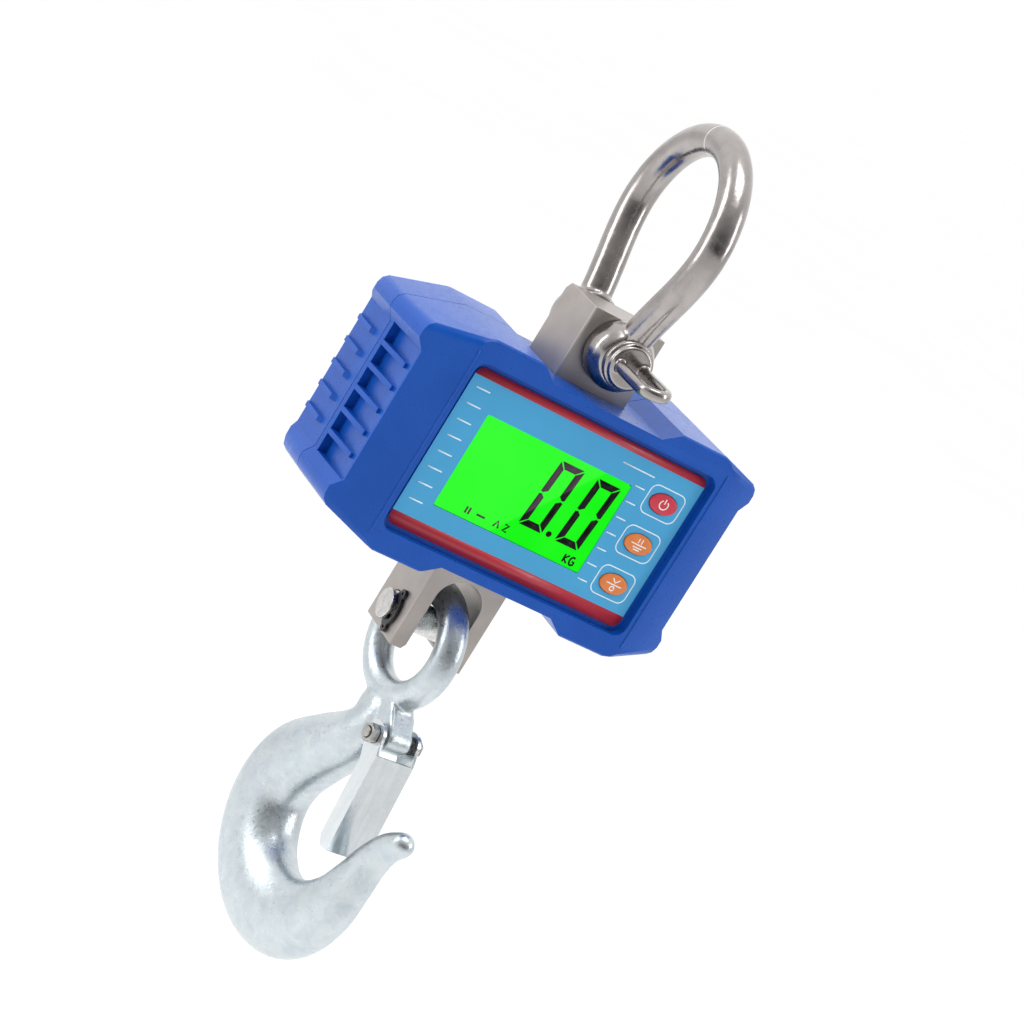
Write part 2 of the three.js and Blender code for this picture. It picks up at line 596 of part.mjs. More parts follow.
function gripScoop(side) {
  const out = HALF_W + RELIEF;
  const outline = polygon([
    [side * (gripHalf(SCOOP_FRONT) - SCOOP_LIP), SCOOP_FRONT],
    [side * (gripHalf(SCOOP_BACK) - SCOOP_DEPTH), SCOOP_BACK],
    [side * out, SCOOP_BACK],
    [side * out, SCOOP_FRONT]]);
  return slabXY(outline, HOUSING_Z - SCOOP_HALF, HOUSING_Z + SCOOP_HALF);
}

function gripFins(side) {
  const tip = SCOOP_FRONT + FIN_TIP;
  const share = FIN_TIP / (SCOOP_BACK - SCOOP_FRONT);
  const floor = gripHalf(tip) - SCOOP_LIP - (SCOOP_DEPTH - SCOOP_LIP) * share;
  return finZ.map((z) => {
    const outline = polygon([
      [side * (floor + FIN_STAND), tip],
      [side * (gripHalf(SCOOP_BACK) + OVERLAP), SCOOP_BACK + OVERLAP],
      [side * (gripHalf(SCOOP_BACK) - SCOOP_DEPTH - OVERLAP), SCOOP_BACK + OVERLAP],
      [side * (floor - OVERLAP), tip]]);
    return slabXY(outline, z - FIN_T / 2, z + FIN_T / 2);
  });
}

function cellPassage(y0, y1) {
  const halfX = CELL_X / 2 + RUNNING;
  return box(-halfX, halfX, y0, y1, HOUSING_Z - HALF_H - 1, HOUSING_Z + HALF_H + 1);
}

const keyZ = (i) => HOUSING_Z + KEY_PITCH * (1 - i) - KEY_DROP;
const boardScrews = [[-1, -1], [-1, 1], [1, -1], [1, 1]].map(([sx, sz]) => (
  [sx * (BOARD_W / 2 - BOARD_INSET), HOUSING_Z + sz * (BOARD_H / 2 - BOARD_INSET)]));
const caseScrews = [[-1, -1], [-1, 1], [1, -1], [1, 1]].map(([sx, sz]) => (
  [sx * SCREW_X, HOUSING_Z + sz * SCREW_Z]));

function frontShell() {
  const body = hull([
    ...sectionPoints(BEZEL_HALF, BEZEL_Y + 0.8), ...sectionPoints(BEZEL_HALF - 0.6, BEZEL_Y, 0.7),
    ...sectionPoints(BUMP_FRONT_HALF, BEZEL_Y + CHAMFER_D), ...sectionPoints(HALF_W, PARTING)]);
  const cavity = box(-FRONT_CAVITY_HALF_W, FRONT_CAVITY_HALF_W, FLOOR_BACK_Y, PARTING + 1,
    HOUSING_Z - CAVITY_HALF_H, HOUSING_Z + CAVITY_HALF_H);
  const gripCavity = box(-GRIP_CAVITY_HALF_W, GRIP_CAVITY_HALF_W, BEZEL_Y + CHAMFER_D, PARTING + 1,
    HOUSING_Z - SCREW_Z + SCREW_BLOCK, HOUSING_Z + SCREW_Z - SCREW_BLOCK);
  const window = slabXZ(roundedRectangle(WINDOW_W, WINDOW_H, WINDOW_R, 0, HOUSING_Z), BEZEL_Y - 1, FLOOR_Y);
  const glass = slabXZ(roundedRectangle(LCD_W + 2 * GAP, LCD_H + 2 * GAP, 1, LCD_X, HOUSING_Z + LCD_Z),
    FLOOR_Y - 1, FLOOR_BACK_Y + 1, 2);
  const keys = [0, 1, 2].map((i) => (
    slabXZ(ellipse(KEY_W + 2 * GAP, KEY_H + 2 * GAP, KEY_X, keyZ(i)), FLOOR_Y - 1, FLOOR_BACK_Y + 1, 10)));
  const bosses = boardScrews.map(([x, z]) => (
    rod('y', BOARD_BOSS_D / 2, FLOOR_BACK_Y - OVERLAP, BOARD_Y - GAP, x, z, 16)));
  const bossHoles = boardScrews.map(([x, z]) => (
    rod('y', BOARD_PILOT_D / 2, FLOOR_BACK_Y - OVERLAP + GAP, BOARD_Y + 1, x, z, 12)));
  const screwHoles = caseScrews.map(([x, z]) => (
    rod('y', CASE_HOLE_D / 2, PARTING - CASE_SCREW_REACH - 2, PARTING + 1, x, z, 12)));
  let shell = cut(body, cavity, gripCavity, window, glass, ...keys,
    slabXZ(notchShape(1), BEZEL_Y - 1, PARTING + 1), slabXZ(notchShape(-1), BEZEL_Y - 1, PARTING + 1));
  for (const side of [-1, 1]) {
    shell = join(cut(shell, gripRelief(side, BEZEL_Y - 1, PARTING + 1), gripScoop(side)), ...gripFins(side));
  }
  return cut(join(shell, ...bosses), ...bossHoles, ...screwHoles,
    cellPassage(-CELL_Y / 2 - RUNNING, PARTING + 1));
}

function doorOpening(margin) {
  const trim = 2 * (margin - DOOR_LAP);
  return roundedRectangle(TRAY_W + trim, TRAY_H + trim, 3, TRAY_X, HOUSING_Z);
}

function rearShell() {
  const front = PARTING + GAP;
  const body = hull([
    ...sectionPoints(HALF_W, front), ...sectionPoints(HALF_W, REAR_Y - 6),
    ...sectionPoints(HALF_W - 1.2, REAR_Y - 2.6, 0.8), ...sectionPoints(HALF_W - 4.6, REAR_Y, 3.6)]);
  const cavity = box(-REAR_CAVITY_HALF_W, REAR_CAVITY_HALF_W, front - 1, REAR_Y - WALL,
    HOUSING_Z - CAVITY_HALF_H, HOUSING_Z + CAVITY_HALF_H);
  const notches = [1, -1].map((sign) => slabXZ(notchShape(sign), front - 1, REAR_Y + 1));
  let shell = cut(body, ...notches);
  for (const side of [-1, 1]) {
    const x0 = gripHalf(REAR_Y) - OVERLAP;
    const x1 = gripHalf(REAR_Y) + REAR_RIB_H;
    const ribs = finZ.map((z) => {
      const outline = polygon([
        [side * x0, front + 5], [side * x1, front + 7.5],
        [side * x1, REAR_Y - 3.4], [side * x0, REAR_Y - 0.9]]);
      return slabXY(outline, z - REAR_RIB_T / 2, z + REAR_RIB_T / 2);
    });
    shell = join(shell.subtract(gripRelief(side, front - 1, REAR_Y + 1)), ...ribs);
  }
  shell = shell.subtract(cavity);
  const bosses = caseScrews.map(([x, z]) => (
    rod('y', CASE_BOSS_D / 2, front, REAR_Y - WALL + OVERLAP, x, z, 20)));
  const screwHoles = caseScrews.map(([x, z]) => (
    rod('y', CASE_HOLE_D / 2, front - 1, REAR_Y + 1, x, z, 12)));
  const headHoles = caseScrews.map(([x, z]) => (
    rod('y', CASE_HEAD_HOLE_D / 2, REAR_Y - CASE_HEAD_DEPTH, REAR_Y + 1, x, z, 20)));
  const post = box(-POST_X - POST_T / 2, -POST_X + POST_T / 2, WING_BACK + GAP,
    REAR_Y - WALL + OVERLAP, HOUSING_Z - BRACKET_DROP, HOUSING_Z - BRACKET_DROP + POST_H);
  return cut(join(shell, ...bosses, post), ...screwHoles, ...headHoles,
    slabXZ(doorOpening(RUNNING), REAR_Y - WALL - 1, REAR_Y + 1, 4),
    cellPassage(front - 1, CELL_Y / 2 + RUNNING));
}

function caseScrew([x, z]) {
  const headFrom = REAR_Y - CASE_HEAD_DEPTH + GAP;
  return rod('y', CASE_SCREW_D / 2, PARTING - CASE_SCREW_REACH, headFrom + OVERLAP, x, z, 12)
    .add(rod('y', CASE_HEAD_D / 2, headFrom, headFrom + CASE_HEAD_T, x, z, 20));
}

// ---------------------------------------------------------------- display
function displayLabel() {
  const width = WINDOW_W - 2 * LABEL_MARGIN;
  const height = WINDOW_H - 2 * LABEL_MARGIN;
  const y0 = FLOOR_Y - GAP - LABEL_T;
  const sheet = slabXZ(roundedRectangle(width, height, WINDOW_R - 1.5, 0, HOUSING_Z), y0, y0 + LABEL_T);
  const opening = slabXZ(roundedRectangle(LCD_W + 2 * GAP, LCD_H + 2 * GAP, 1, LCD_X, HOUSING_Z + LCD_Z),
    y0 - 1, y0 + 2, 2);
  const keys = [0, 1, 2].map((i) => (
    slabXZ(ellipse(KEY_W + 2 * GAP, KEY_H + 2 * GAP, KEY_X, keyZ(i)), y0 - 1, y0 + 2, 10)));
  return cut(sheet, opening, ...keys);
}

const lcdPane = (width, height, y0, y1) => (
  slabXZ(roundedRectangle(width, height, 0.8, LCD_X, HOUSING_Z + LCD_Z), y0, y1, 2));

function key(i) {
  const top = FLOOR_Y - GAP - LABEL_T - KEY_STAND;
  const cap = slabXZ(ellipse(KEY_W, KEY_H, KEY_X, keyZ(i)), top, FLOOR_BACK_Y + 2 * GAP, 10);
  const rim = ellipse(KEY_W + 2 * KEY_FLANGE, KEY_H + 2 * KEY_FLANGE, KEY_X, keyZ(i));
  const flange = slabXZ(rim, FLOOR_BACK_Y + GAP, FLOOR_BACK_Y + GAP + KEY_FLANGE_T, 10);
  return cap.add(flange);
}

function keySwitch(i) {
  const half = SWITCH_W / 2;
  const front = FLOOR_BACK_Y + GAP + KEY_FLANGE_T + KEY_TRAVEL + GAP;
  return box(KEY_X - half, KEY_X + half, front, BOARD_Y - GAP, keyZ(i) - half, keyZ(i) + half);
}

function displayBoard() {
  const sheet = slabXZ(roundedRectangle(BOARD_W, BOARD_H, 2, 0, HOUSING_Z), BOARD_Y, BOARD_Y + BOARD_T, 2);
  const chip = box(-CHIP_W / 2, CHIP_W / 2, BOARD_BACK_Y - OVERLAP, BOARD_BACK_Y + CHIP_T,
    HOUSING_Z - CHIP_DROP - CHIP_H / 2, HOUSING_Z - CHIP_DROP + CHIP_H / 2);
  const socket = box(SOCKET_X - SOCKET_W / 2, SOCKET_X + SOCKET_W / 2, BOARD_BACK_Y - OVERLAP,
    BOARD_BACK_Y + SOCKET_T, HOUSING_Z - SOCKET_H / 2, HOUSING_Z + SOCKET_H / 2);
  const holes = boardScrews.map(([x, z]) => (
    rod('y', BOARD_SCREW_D / 2 + 2 * GAP, BOARD_Y - 1, BOARD_BACK_Y + 1, x, z, 12)));
  return cut(join(sheet, chip, socket), ...holes);
}

function boardScrew([x, z]) {
  const back = BOARD_BACK_Y + GAP;
  return rod('y', BOARD_SCREW_D / 2, BOARD_Y - 4, back + OVERLAP, x, z, 10)
    .add(rod('y', BOARD_SCREW_HEAD_D / 2, back, back + BOARD_T, x, z, 16));
}

function buzzer() {
  const front = BOARD_BACK_Y + GAP;
  return rod('y', BUZZER_D / 2, front, front + BUZZER_T, BUZZER_X, HOUSING_Z + BUZZER_RISE, 24);
}

// the gauge lead: from the left gauge cover to the board's socket
function cellCable() {
  const start = -(CELL_X / 2 + GAUGE_T + 3 * GAP);
  const socketY = BOARD_BACK_Y + SOCKET_T + GAP;
  const path = new THREE.CatmullRomCurve3([
    [start, -3, HOUSING_Z + 6], [start - 4, -3, HOUSING_Z + 6], [start - 9, -7, HOUSING_Z + 3],
    [start - 13, -12, HOUSING_Z + 1], [SOCKET_X, -15, HOUSING_Z], [SOCKET_X, socketY, HOUSING_Z],
  ].map((p) => new THREE.Vector3(...p)));
  const section = new THREE.Shape();
  section.absarc(0, 0, CABLE_D / 2, 0, TAU);
  return solid(new THREE.ExtrudeGeometry(section, { steps: 14, extrudePath: path, curveSegments: 4 }));
}

// ---------------------------------------------------------------- batteries
const cellX = (i) => TRAY_X + (i - 1) * CELL_PITCH;

function batteryTray() {
  const front = CELL_Y_AXIS - CELL_D / 2 - RUNNING - TRAY_WALL;
  const half = TRAY_W / 2;
  const inner = half - TRAY_WALL;
  const tub = box(TRAY_X - half, TRAY_X + half, front, TRAY_BACK,
    HOUSING_Z - TRAY_H / 2, HOUSING_Z + TRAY_H / 2);
  return tub.subtract(box(TRAY_X - inner, TRAY_X + inner, front + TRAY_WALL, TRAY_BACK + 1,
    HOUSING_Z - TRAY_H / 2 + TRAY_WALL, HOUSING_Z + TRAY_H / 2 - TRAY_WALL));
}

function batteryCell(i) {
  const turn = i % 2 ? -1 : 1;
  const along = (from, to, radius, sides) => {
    const ends = [HOUSING_Z + turn * from, HOUSING_Z + turn * to];
    return rod('z', radius, Math.min(...ends), Math.max(...ends), cellX(i), CELL_Y_AXIS, sides);
  };
  const shoulder = CELL_L / 2 - CELL_TIP_L;
  return along(-CELL_L / 2, shoulder, CELL_D / 2, 20)
    .add(along(shoulder - OVERLAP, CELL_L / 2, CELL_TIP_D / 2, 14));
}

function batteryContact(sign) {
  const outer = TRAY_H / 2 - TRAY_WALL - GAP;
  const inner = CELL_L / 2 + GAP;
  const z = [HOUSING_Z + sign * inner, HOUSING_Z + sign * outer].sort((a, b) => a - b);
  const half = TRAY_W / 2 - TRAY_WALL - GAP - 1;
  const reach = CONTACT_W / 2;
  return box(TRAY_X - half, TRAY_X + half, CELL_Y_AXIS - reach, CELL_Y_AXIS + reach, z[0], z[1]);
}

function batteryDoor() {
  const front = REAR_Y - DOOR_T;
  const plate = slabXZ(doorOpening(0), front, REAR_Y, 4);
  const ridges = [-1, 0, 1].map((i) => {
    const z = HOUSING_Z + RIDGE_RISE + i * RIDGE_PITCH;
    return box(TRAY_X - RIDGE_W / 2, TRAY_X + RIDGE_W / 2, REAR_Y - OVERLAP, REAR_Y + RIDGE_H,
      z - RIDGE_T / 2, z + RIDGE_T / 2);
  });
  return join(plate, ...ridges);
}

// ---------------------------------------------------------------- hook pin
function hookPin() {
  const radius = HOOK_PIN_D / 2;
  const bar = rod('x', radius, -PIN_HALF, PIN_HALF, 0, HOOK_PIN_Z, 28);
  const grooves = [-1, 1].map((side) => {
    const from = Math.min(side * CLIP_X, side * (CLIP_X + CLIP_T)) - GAP;
    const to = from + CLIP_T + 2 * GAP;
    return rod('x', radius + 1, from, to, 0, HOOK_PIN_Z, 28)
      .subtract(rod('x', radius - PIN_GROOVE, from - 1, to + 1, 0, HOOK_PIN_Z, 28));
  });
  return cut(bar, ...grooves);
}

// open spring clip: a band round the front of the pin, and a lug at each end that grips the groove
function circlip(side) {
  const x0 = side > 0 ? CLIP_X : -CLIP_X - CLIP_T;
  const x1 = x0 + CLIP_T;
  const band = rod('x', CLIP_D / 2, x0, x1, 0, HOOK_PIN_Z, 40)
    .subtract(rod('x', CLIP_D / 2 - CLIP_BAND, x0 - 1, x1 + 1, 0, HOOK_PIN_Z, 40));
  const angle = CLIP_HALF_ANGLE * TAU / 360;
  const sector = hull([x0 - 1, x1 + 1].flatMap((x) => [
    [x, 0, HOOK_PIN_Z],
    ...[-1, 0, 1].map((turn) => (
      [x, -CLIP_D * Math.cos(angle * turn), HOOK_PIN_Z + CLIP_D * Math.sin(angle * turn)]))]));
  const grip = HOOK_PIN_D / 2 - PIN_GROOVE + GAP;
  const lugs = [-1, 1].map((turn) => {
    const y = -Math.cos(angle * turn);
    const z = Math.sin(angle * turn);
    const at = (reach) => rod('x', CLIP_LUG_D / 2, x0, x1, y * reach, HOOK_PIN_Z + z * reach, 16);
    const hole = rod('x', CLIP_LUG_D / 5, x0 - 1, x1 + 1, y * CLIP_D / 2, HOOK_PIN_Z + z * CLIP_D / 2, 10);
    return at(CLIP_D / 2).add(at(grip + CLIP_LUG_D / 4)).subtract(hole);
  });
  const shaft = rod('x', grip, x0 - 1, x1 + 1, 0, HOOK_PIN_Z, 28);
  return join(band.intersect(sector), ...lugs).subtract(shaft);
}

// ---------------------------------------------------------------- hook (a is -Y, b is +Z)
const inHook = (a, b) => new THREE.Vector3(0, -a, b);

function hookStations(steps) {
  const curve = new THREE.CatmullRomCurve3(HOOK_BODY.map(([a, b]) => inHook(a, b)), false, 'centripetal');
  const last = HOOK_BODY.length - 1;
  const stations = Array.from({ length: steps + 1 }, (_, i) => {
    const t = i / steps;
    const whole = Math.min(Math.floor(t * last), last - 1);
    const rest = t * last - whole;
    const [, , w0, t0] = HOOK_BODY[whole];
    const [, , w1, t1] = HOOK_BODY[whole + 1];
    return { point: curve.getPoint(t), width: w0 + (w1 - w0) * rest, thick: t0 + (t1 - t0) * rest };
  });
  const end = stations[steps];
  const along = end.point.clone().sub(stations[steps - 1].point).normalize();
  for (const turn of [30, 60, 82]) {
    const angle = (turn * Math.PI) / 180;
    stations.push({
      point: end.point.clone().addScaledVector(along, (Math.sin(angle) * end.width) / 2),
      width: end.width * Math.cos(angle), thick: end.thick * Math.cos(angle) });
  }
  return stations;
}

function hookBody() {
  const eye = new THREE.TorusGeometry(EYE_R, EYE_ROD / 2, 14, 36);
  eye.rotateY(Math.PI / 2).translate(0, 0, EYE_B);
  const body = planeBar(hookStations(34), 18);
  const lug = hull(LUG_ROUNDS.flatMap(([a, b, radius]) => (
    Array.from({ length: 20 }, (_, i) => (i * TAU) / 20).flatMap((angle) => (
      [-1, 1].map((side) => (
        [side * LUG_HALF, -a + radius * Math.cos(angle), b + radius * Math.sin(angle)])))))));
  const hole = rod('x', BOLT_D / 2 + GAP, -20, 20, -BOLT_A, BOLT_B, 18);
  return join(solid(eye), body, lug).subtract(hole);
}

function latchPlate() {
  const out = -BOLT_A - LATCH_FACE;
  const end = BOLT_B - LATCH_L;
  const side = new THREE.Shape();
  const ear = LATCH_EAR;
  side.moveTo(out, end);
  side.lineTo(out, BOLT_B - LATCH_NECK);
  side.lineTo(-BOLT_A - ear, BOLT_B);
  side.absarc(-BOLT_A, BOLT_B, ear, Math.PI, 0, true);
  side.lineTo(-BOLT_A + 1, BOLT_B - 12);
  side.lineTo(out + LATCH_DEPTH, end + 4);
  side.lineTo(out + LATCH_DEPTH - 2.6, end);
  const half = LATCH_W / 2;
  const whole = slabYZ(side, -half, half, 10);
  const inner = half - LATCH_T;
  const hollow = box(-inner, inner, out + LATCH_T, -BOLT_A + 30, end - 1, BOLT_B + 12)
    .add(box(-inner, inner, out - 1, -BOLT_A + 30, BOLT_B - LATCH_NECK, BOLT_B + 12));
  return cut(whole, hollow, rod('x', BOLT_D / 2 + GAP, -half - 1, half + 1, -BOLT_A, BOLT_B, 18));
}

function latchBolt() {
  const half = LATCH_W / 2 + GAP;
  return rod('x', BOLT_D / 2, -half - NUT_T - 0.8, half + OVERLAP, -BOLT_A, BOLT_B, 18)
    .add(rod('x', BOLT_D * 0.86, half, half + BOLT_HEAD_T, -BOLT_A, BOLT_B, 6));
}

function latchNut() {
  const x1 = -(LATCH_W / 2 + GAP);
  return rod('x', BOLT_D * 0.92, x1 - NUT_T, x1, -BOLT_A, BOLT_B, 6)
    .subtract(rod('x', BOLT_D / 2 + GAP, x1 - 5, x1 + 1, -BOLT_A, BOLT_B, 18));
}

// torsion spring: a close coil round the bolt between the lug and the far ear, drawn as its envelope
function latchSpring() {
  const inner = LATCH_W / 2 - LATCH_T;
  return rod('x', BOLT_D / 2 + GAP + SPRING_WALL, LUG_HALF + GAP, inner - GAP, -BOLT_A, BOLT_B, 20)
    .subtract(rod('x', BOLT_D / 2 + GAP, 0, 20, -BOLT_A, BOLT_B, 18));
}

// ---------------------------------------------------------------- assembly
place('shackle_bow', shackleBow(), 'stainless');
place('shackle_pin', shacklePin(), 'stainless');
place('load_cell', loadCell(), 'nickel');
for (const [name, side] of [['left', -1], ['right', 1]]) {
  place(`gauge_cover_${name}`, gaugeCover(side), 'white');
  place(`cell_bracket_${name}`, cellBracket(side), 'steel');
  place(`bracket_screw_${name}`, bracketScrew(side), 'steel');
  place(`circlip_${name}`, circlip(side), 'black');
}
place('front_shell', frontShell(), 'blue');
place('rear_shell', rearShell(), 'blue');
place('display_label', displayLabel(), 'label');
place('lcd_glass', lcdPane(LCD_W, LCD_H, FLOOR_Y - GAP - LABEL_T, FLOOR_BACK_Y - 0.6), 'glass');
place('lcd_backlight', lcdPane(LCD_W - 2, LCD_H - 2, FLOOR_BACK_Y - 0.3, BOARD_Y - GAP), 'white');
place('display_board', displayBoard(), 'board');
place('buzzer', buzzer(), 'black');
['power', 'hold', 'tare'].forEach((name, i) => {
  place(`key_${name}`, key(i), i === 0 ? 'red' : 'orange');
  place(`key_switch_${i + 1}`, keySwitch(i), 'black');
});
boardScrews.forEach((at, i) => place(`board_screw_${i + 1}`, boardScrew(at), 'steel'));
caseScrews.forEach((at, i) => place(`case_screw_${i + 1}`, caseScrew(at), 'steel'));
place('cell_cable', cellCable(), 'cable');
place('battery_tray', batteryTray(), 'black');
[0, 1, 2].forEach((i) => place(`battery_cell_${i + 1}`, batteryCell(i), 'battery'));
place('battery_contact_top', batteryContact(1), 'steel');
place('battery_contact_bottom', batteryContact(-1), 'steel');
place('battery_door', batteryDoor(), 'blue');
place('hook_pin', hookPin(), 'steel');

const hookFrame = new THREE.Group();
hookFrame.position.set(0, 0, HOOK_PIN_Z);
hookFrame.rotation.set((-HOOK_TILT * Math.PI) / 180, 0, (HOOK_TWIST * Math.PI) / 180, 'ZYX');
object.add(hookFrame);
place('hook', hookBody(), 'zinc', hookFrame);
place('latch', latchPlate(), 'zinc', hookFrame);
place('latch_bolt', latchBolt(), 'steel', hookFrame);
place('latch_nut', latchNut(), 'steel', hookFrame);
place('latch_spring', latchSpring(), 'steel', hookFrame);

export default object;
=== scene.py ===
import math

import bmesh
import bpy
import numpy as np
from mathutils import Matrix, Vector


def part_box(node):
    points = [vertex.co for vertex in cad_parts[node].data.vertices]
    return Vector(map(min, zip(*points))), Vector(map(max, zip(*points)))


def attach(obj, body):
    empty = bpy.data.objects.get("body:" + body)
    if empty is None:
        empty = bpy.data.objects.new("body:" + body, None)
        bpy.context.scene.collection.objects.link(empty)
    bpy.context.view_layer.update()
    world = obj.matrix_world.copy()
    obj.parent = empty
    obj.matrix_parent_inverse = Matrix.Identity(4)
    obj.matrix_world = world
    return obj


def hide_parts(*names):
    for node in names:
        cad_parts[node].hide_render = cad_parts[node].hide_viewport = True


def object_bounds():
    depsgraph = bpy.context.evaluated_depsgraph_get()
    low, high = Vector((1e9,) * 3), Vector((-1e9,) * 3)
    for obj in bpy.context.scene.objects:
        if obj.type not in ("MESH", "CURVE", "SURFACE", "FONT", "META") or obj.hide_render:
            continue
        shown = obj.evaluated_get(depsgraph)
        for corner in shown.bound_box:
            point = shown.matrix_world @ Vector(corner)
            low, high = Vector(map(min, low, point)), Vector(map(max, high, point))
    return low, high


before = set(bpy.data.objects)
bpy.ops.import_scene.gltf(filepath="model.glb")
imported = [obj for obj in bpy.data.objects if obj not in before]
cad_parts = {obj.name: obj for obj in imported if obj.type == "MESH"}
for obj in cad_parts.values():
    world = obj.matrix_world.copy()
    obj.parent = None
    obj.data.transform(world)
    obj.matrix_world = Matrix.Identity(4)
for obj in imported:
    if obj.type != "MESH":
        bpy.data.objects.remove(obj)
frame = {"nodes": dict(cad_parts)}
CAD_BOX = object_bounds()

bl_info = {
    "name": "Crane scale",
    "version": (1, 0, 0),
    "blender": (4, 5, 0),
    "location": "3D View > Sidebar > Crane scale",
    "description": "Surfaces and finishes of a hanging crane scale, built round its solid parts",
    "category": "Object",
}

MM = 0.001
TURN = 2 * math.pi


def middle(node):
    """Centre of a solid part's box, in millimetres."""
    low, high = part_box(node)
    return np.array((low + high) / 2) / MM


def extent(node):
    """Lowest and highest corner of a solid part's box, in millimetres."""
    low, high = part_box(node)
    return np.array(low) / MM, np.array(high) / MM


SHACKLE_PIN = np.array([0, 0, middle("shackle_pin")[2]])
HOOK_PIN = np.array([0, 0, middle("hook_pin")[2]])
HOUSING = np.array([0, 0, middle("front_shell")[2]])
LABEL_FACE = extent("display_label")[0][1]
GLASS_FACE = extent("lcd_glass")[0][1]
EAR_INNER = extent("load_cell")[1][1] + 0.5

# shackle, in millimetres
EAR_THICK = 12.5
EAR_BORE = 7.3      # radius
SHANK = 7.0         # radius of the screw pin
COLLAR = 10.5       # radius of its larger collar
EYE_REACH = 5.4     # half width of the eye's centreline
EYE_SIDE = 1.95     # half the eye's section, across the loop and through it
EYE_RISE = 2.5
EYE_TURN = math.radians(-10)
SEAM_Y = 1.5

# keys: half width, half height and crown of their tops
KEY_X, KEY_Z, KEY_CROWN = 6.5, 4.2, 0.3

# hook: where it hangs, its latch bolt, the ring's inner radius and crown, and the lug
TILT = math.radians(-6.4)
TWIST = math.radians(10)
BOLT = (-17.0, -47.3)
RING_INNER = 16.5
RING_CROWN = 6.8
LUG_HALF = 6
LUG_ROUNDS = [(-17, -47.3, 5.6), (-11.5, -39.5, 5.5), (0, -42, 9), (1, -51, 6.5)]

# stage: the point looked at, the camera's distance and its offset to the right and upwards
AIM = np.array([0, -37.2, -144.8])
CAMERA_DISTANCE = 1243
CAMERA_OFFSET = (-15.847, -3.290)
AZIMUTH, ELEVATION = math.radians(-29), math.radians(11.0335)
FLOOR_REACH = 40.0  # metres

# name, place, width, height (metres) and power of each light
LAMPS = (("front_right_box", (1.5, -0.9, 0.5), 0.4, 1.0, 8),
         ("top_box", (-0.2, -0.35, 1.5), 1.2, 0.9, 14),
         ("left_box", (-1.4, 0.35, 0.25), 0.5, 1.1, 8))


# ------------------------ meshes
def around(steps):
    """Angles of one full turn."""
    return np.linspace(0, TURN, steps, endpoint=False)


def grid_faces(rows, columns, close_rows=False, close_columns=True):
    """Quads between neighbouring points of a rows by columns grid, wrapping round where it closes."""
    r = np.arange(rows if close_rows else rows - 1)[:, None]
    c = np.arange(columns if close_columns else columns - 1)[None, :]
    r1 = (r + 1) % rows
    c1 = (c + 1) % columns
    quads = np.stack([r * columns + c, r * columns + c1, r1 * columns + c1, r1 * columns + c], axis=-1)
    return quads.reshape(-1, 4)


def capped(rings):
    """Closed skin over a stack of rings: quads between them and a many-sided face over each end."""
    rows, columns = rings.shape[:2]
    faces = grid_faces(rows, columns).tolist()
    first = np.arange(columns)[::-1].tolist()
    last = (np.arange(columns) + (rows - 1) * columns).tolist()
    return rings.reshape(-1, 3), faces + [first, last]


def ringed(rings):
    """Skin over rings that close on themselves both ways, as on a torus."""
    rows, columns = rings.shape[:2]
    return rings.reshape(-1, 3), grid_faces(rows, columns, close_rows=True).tolist()


def joined(*parts):
    """Several (points, faces) pairs as one pair."""
    points, faces, offset = [], [], 0
    for part_points, part_faces in parts:
        points.append(np.asarray(part_points, float))
        faces += [[index + offset for index in face] for face in part_faces]
        offset += len(part_points)
    return np.concatenate(points), faces


def mesh_of(name, points, faces):
    """Mesh from points in millimetres, with its faces turned outwards."""
    mesh = bpy.data.meshes.new(name)
    mesh.from_pydata((np.asarray(points, float) * MM).tolist(), [], faces)
    work = bmesh.new()
    work.from_mesh(mesh)
    bmesh.ops.remove_doubles(work, verts=work.verts, dist=1e-6)
    bmesh.ops.recalc_face_normals(work, faces=work.faces)
    work.to_mesh(mesh)
    work.free()
    mesh.shade_smooth()
    return mesh


def piece(name, mesh, body, finish):
    """Puts a mesh in the scene as a piece that rides on a body and takes a finish."""
    thing = bpy.data.objects.new(name, mesh)
    bpy.context.scene.collection.objects.link(thing)
    mesh.materials.clear()
    mesh.materials.append(finish)
    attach(thing, body)
    return thing


def settle(thing, *modifiers):
    """Applies modifiers, given as (type, settings), to the piece's mesh."""
    for kind, settings in modifiers:
        modifier = thing.modifiers.new(kind.title(), kind)
        for key, value in settings.items():
            setattr(modifier, key, value)
    graph = bpy.context.evaluated_depsgraph_get()
    baked = bpy.data.meshes.new_from_object(thing.evaluated_get(graph))
    old = thing.data
    thing.modifiers.clear()
    thing.data = baked
    baked.name = old.name
    bpy.data.meshes.remove(old)
    return thing


def melted(thing, voxel, rounds):
    """Unites overlapping closed skins in one forging with soft roots: a fine even mesh over their
    outer surface, then a few rounds of smoothing."""
    settle(thing, ("REMESH", {"mode": "VOXEL", "voxel_size": voxel * MM, "use_smooth_shade": True}),
           ("SMOOTH", {"factor": 0.5, "iterations": rounds}))
    thing.data.shade_smooth()
    return thing


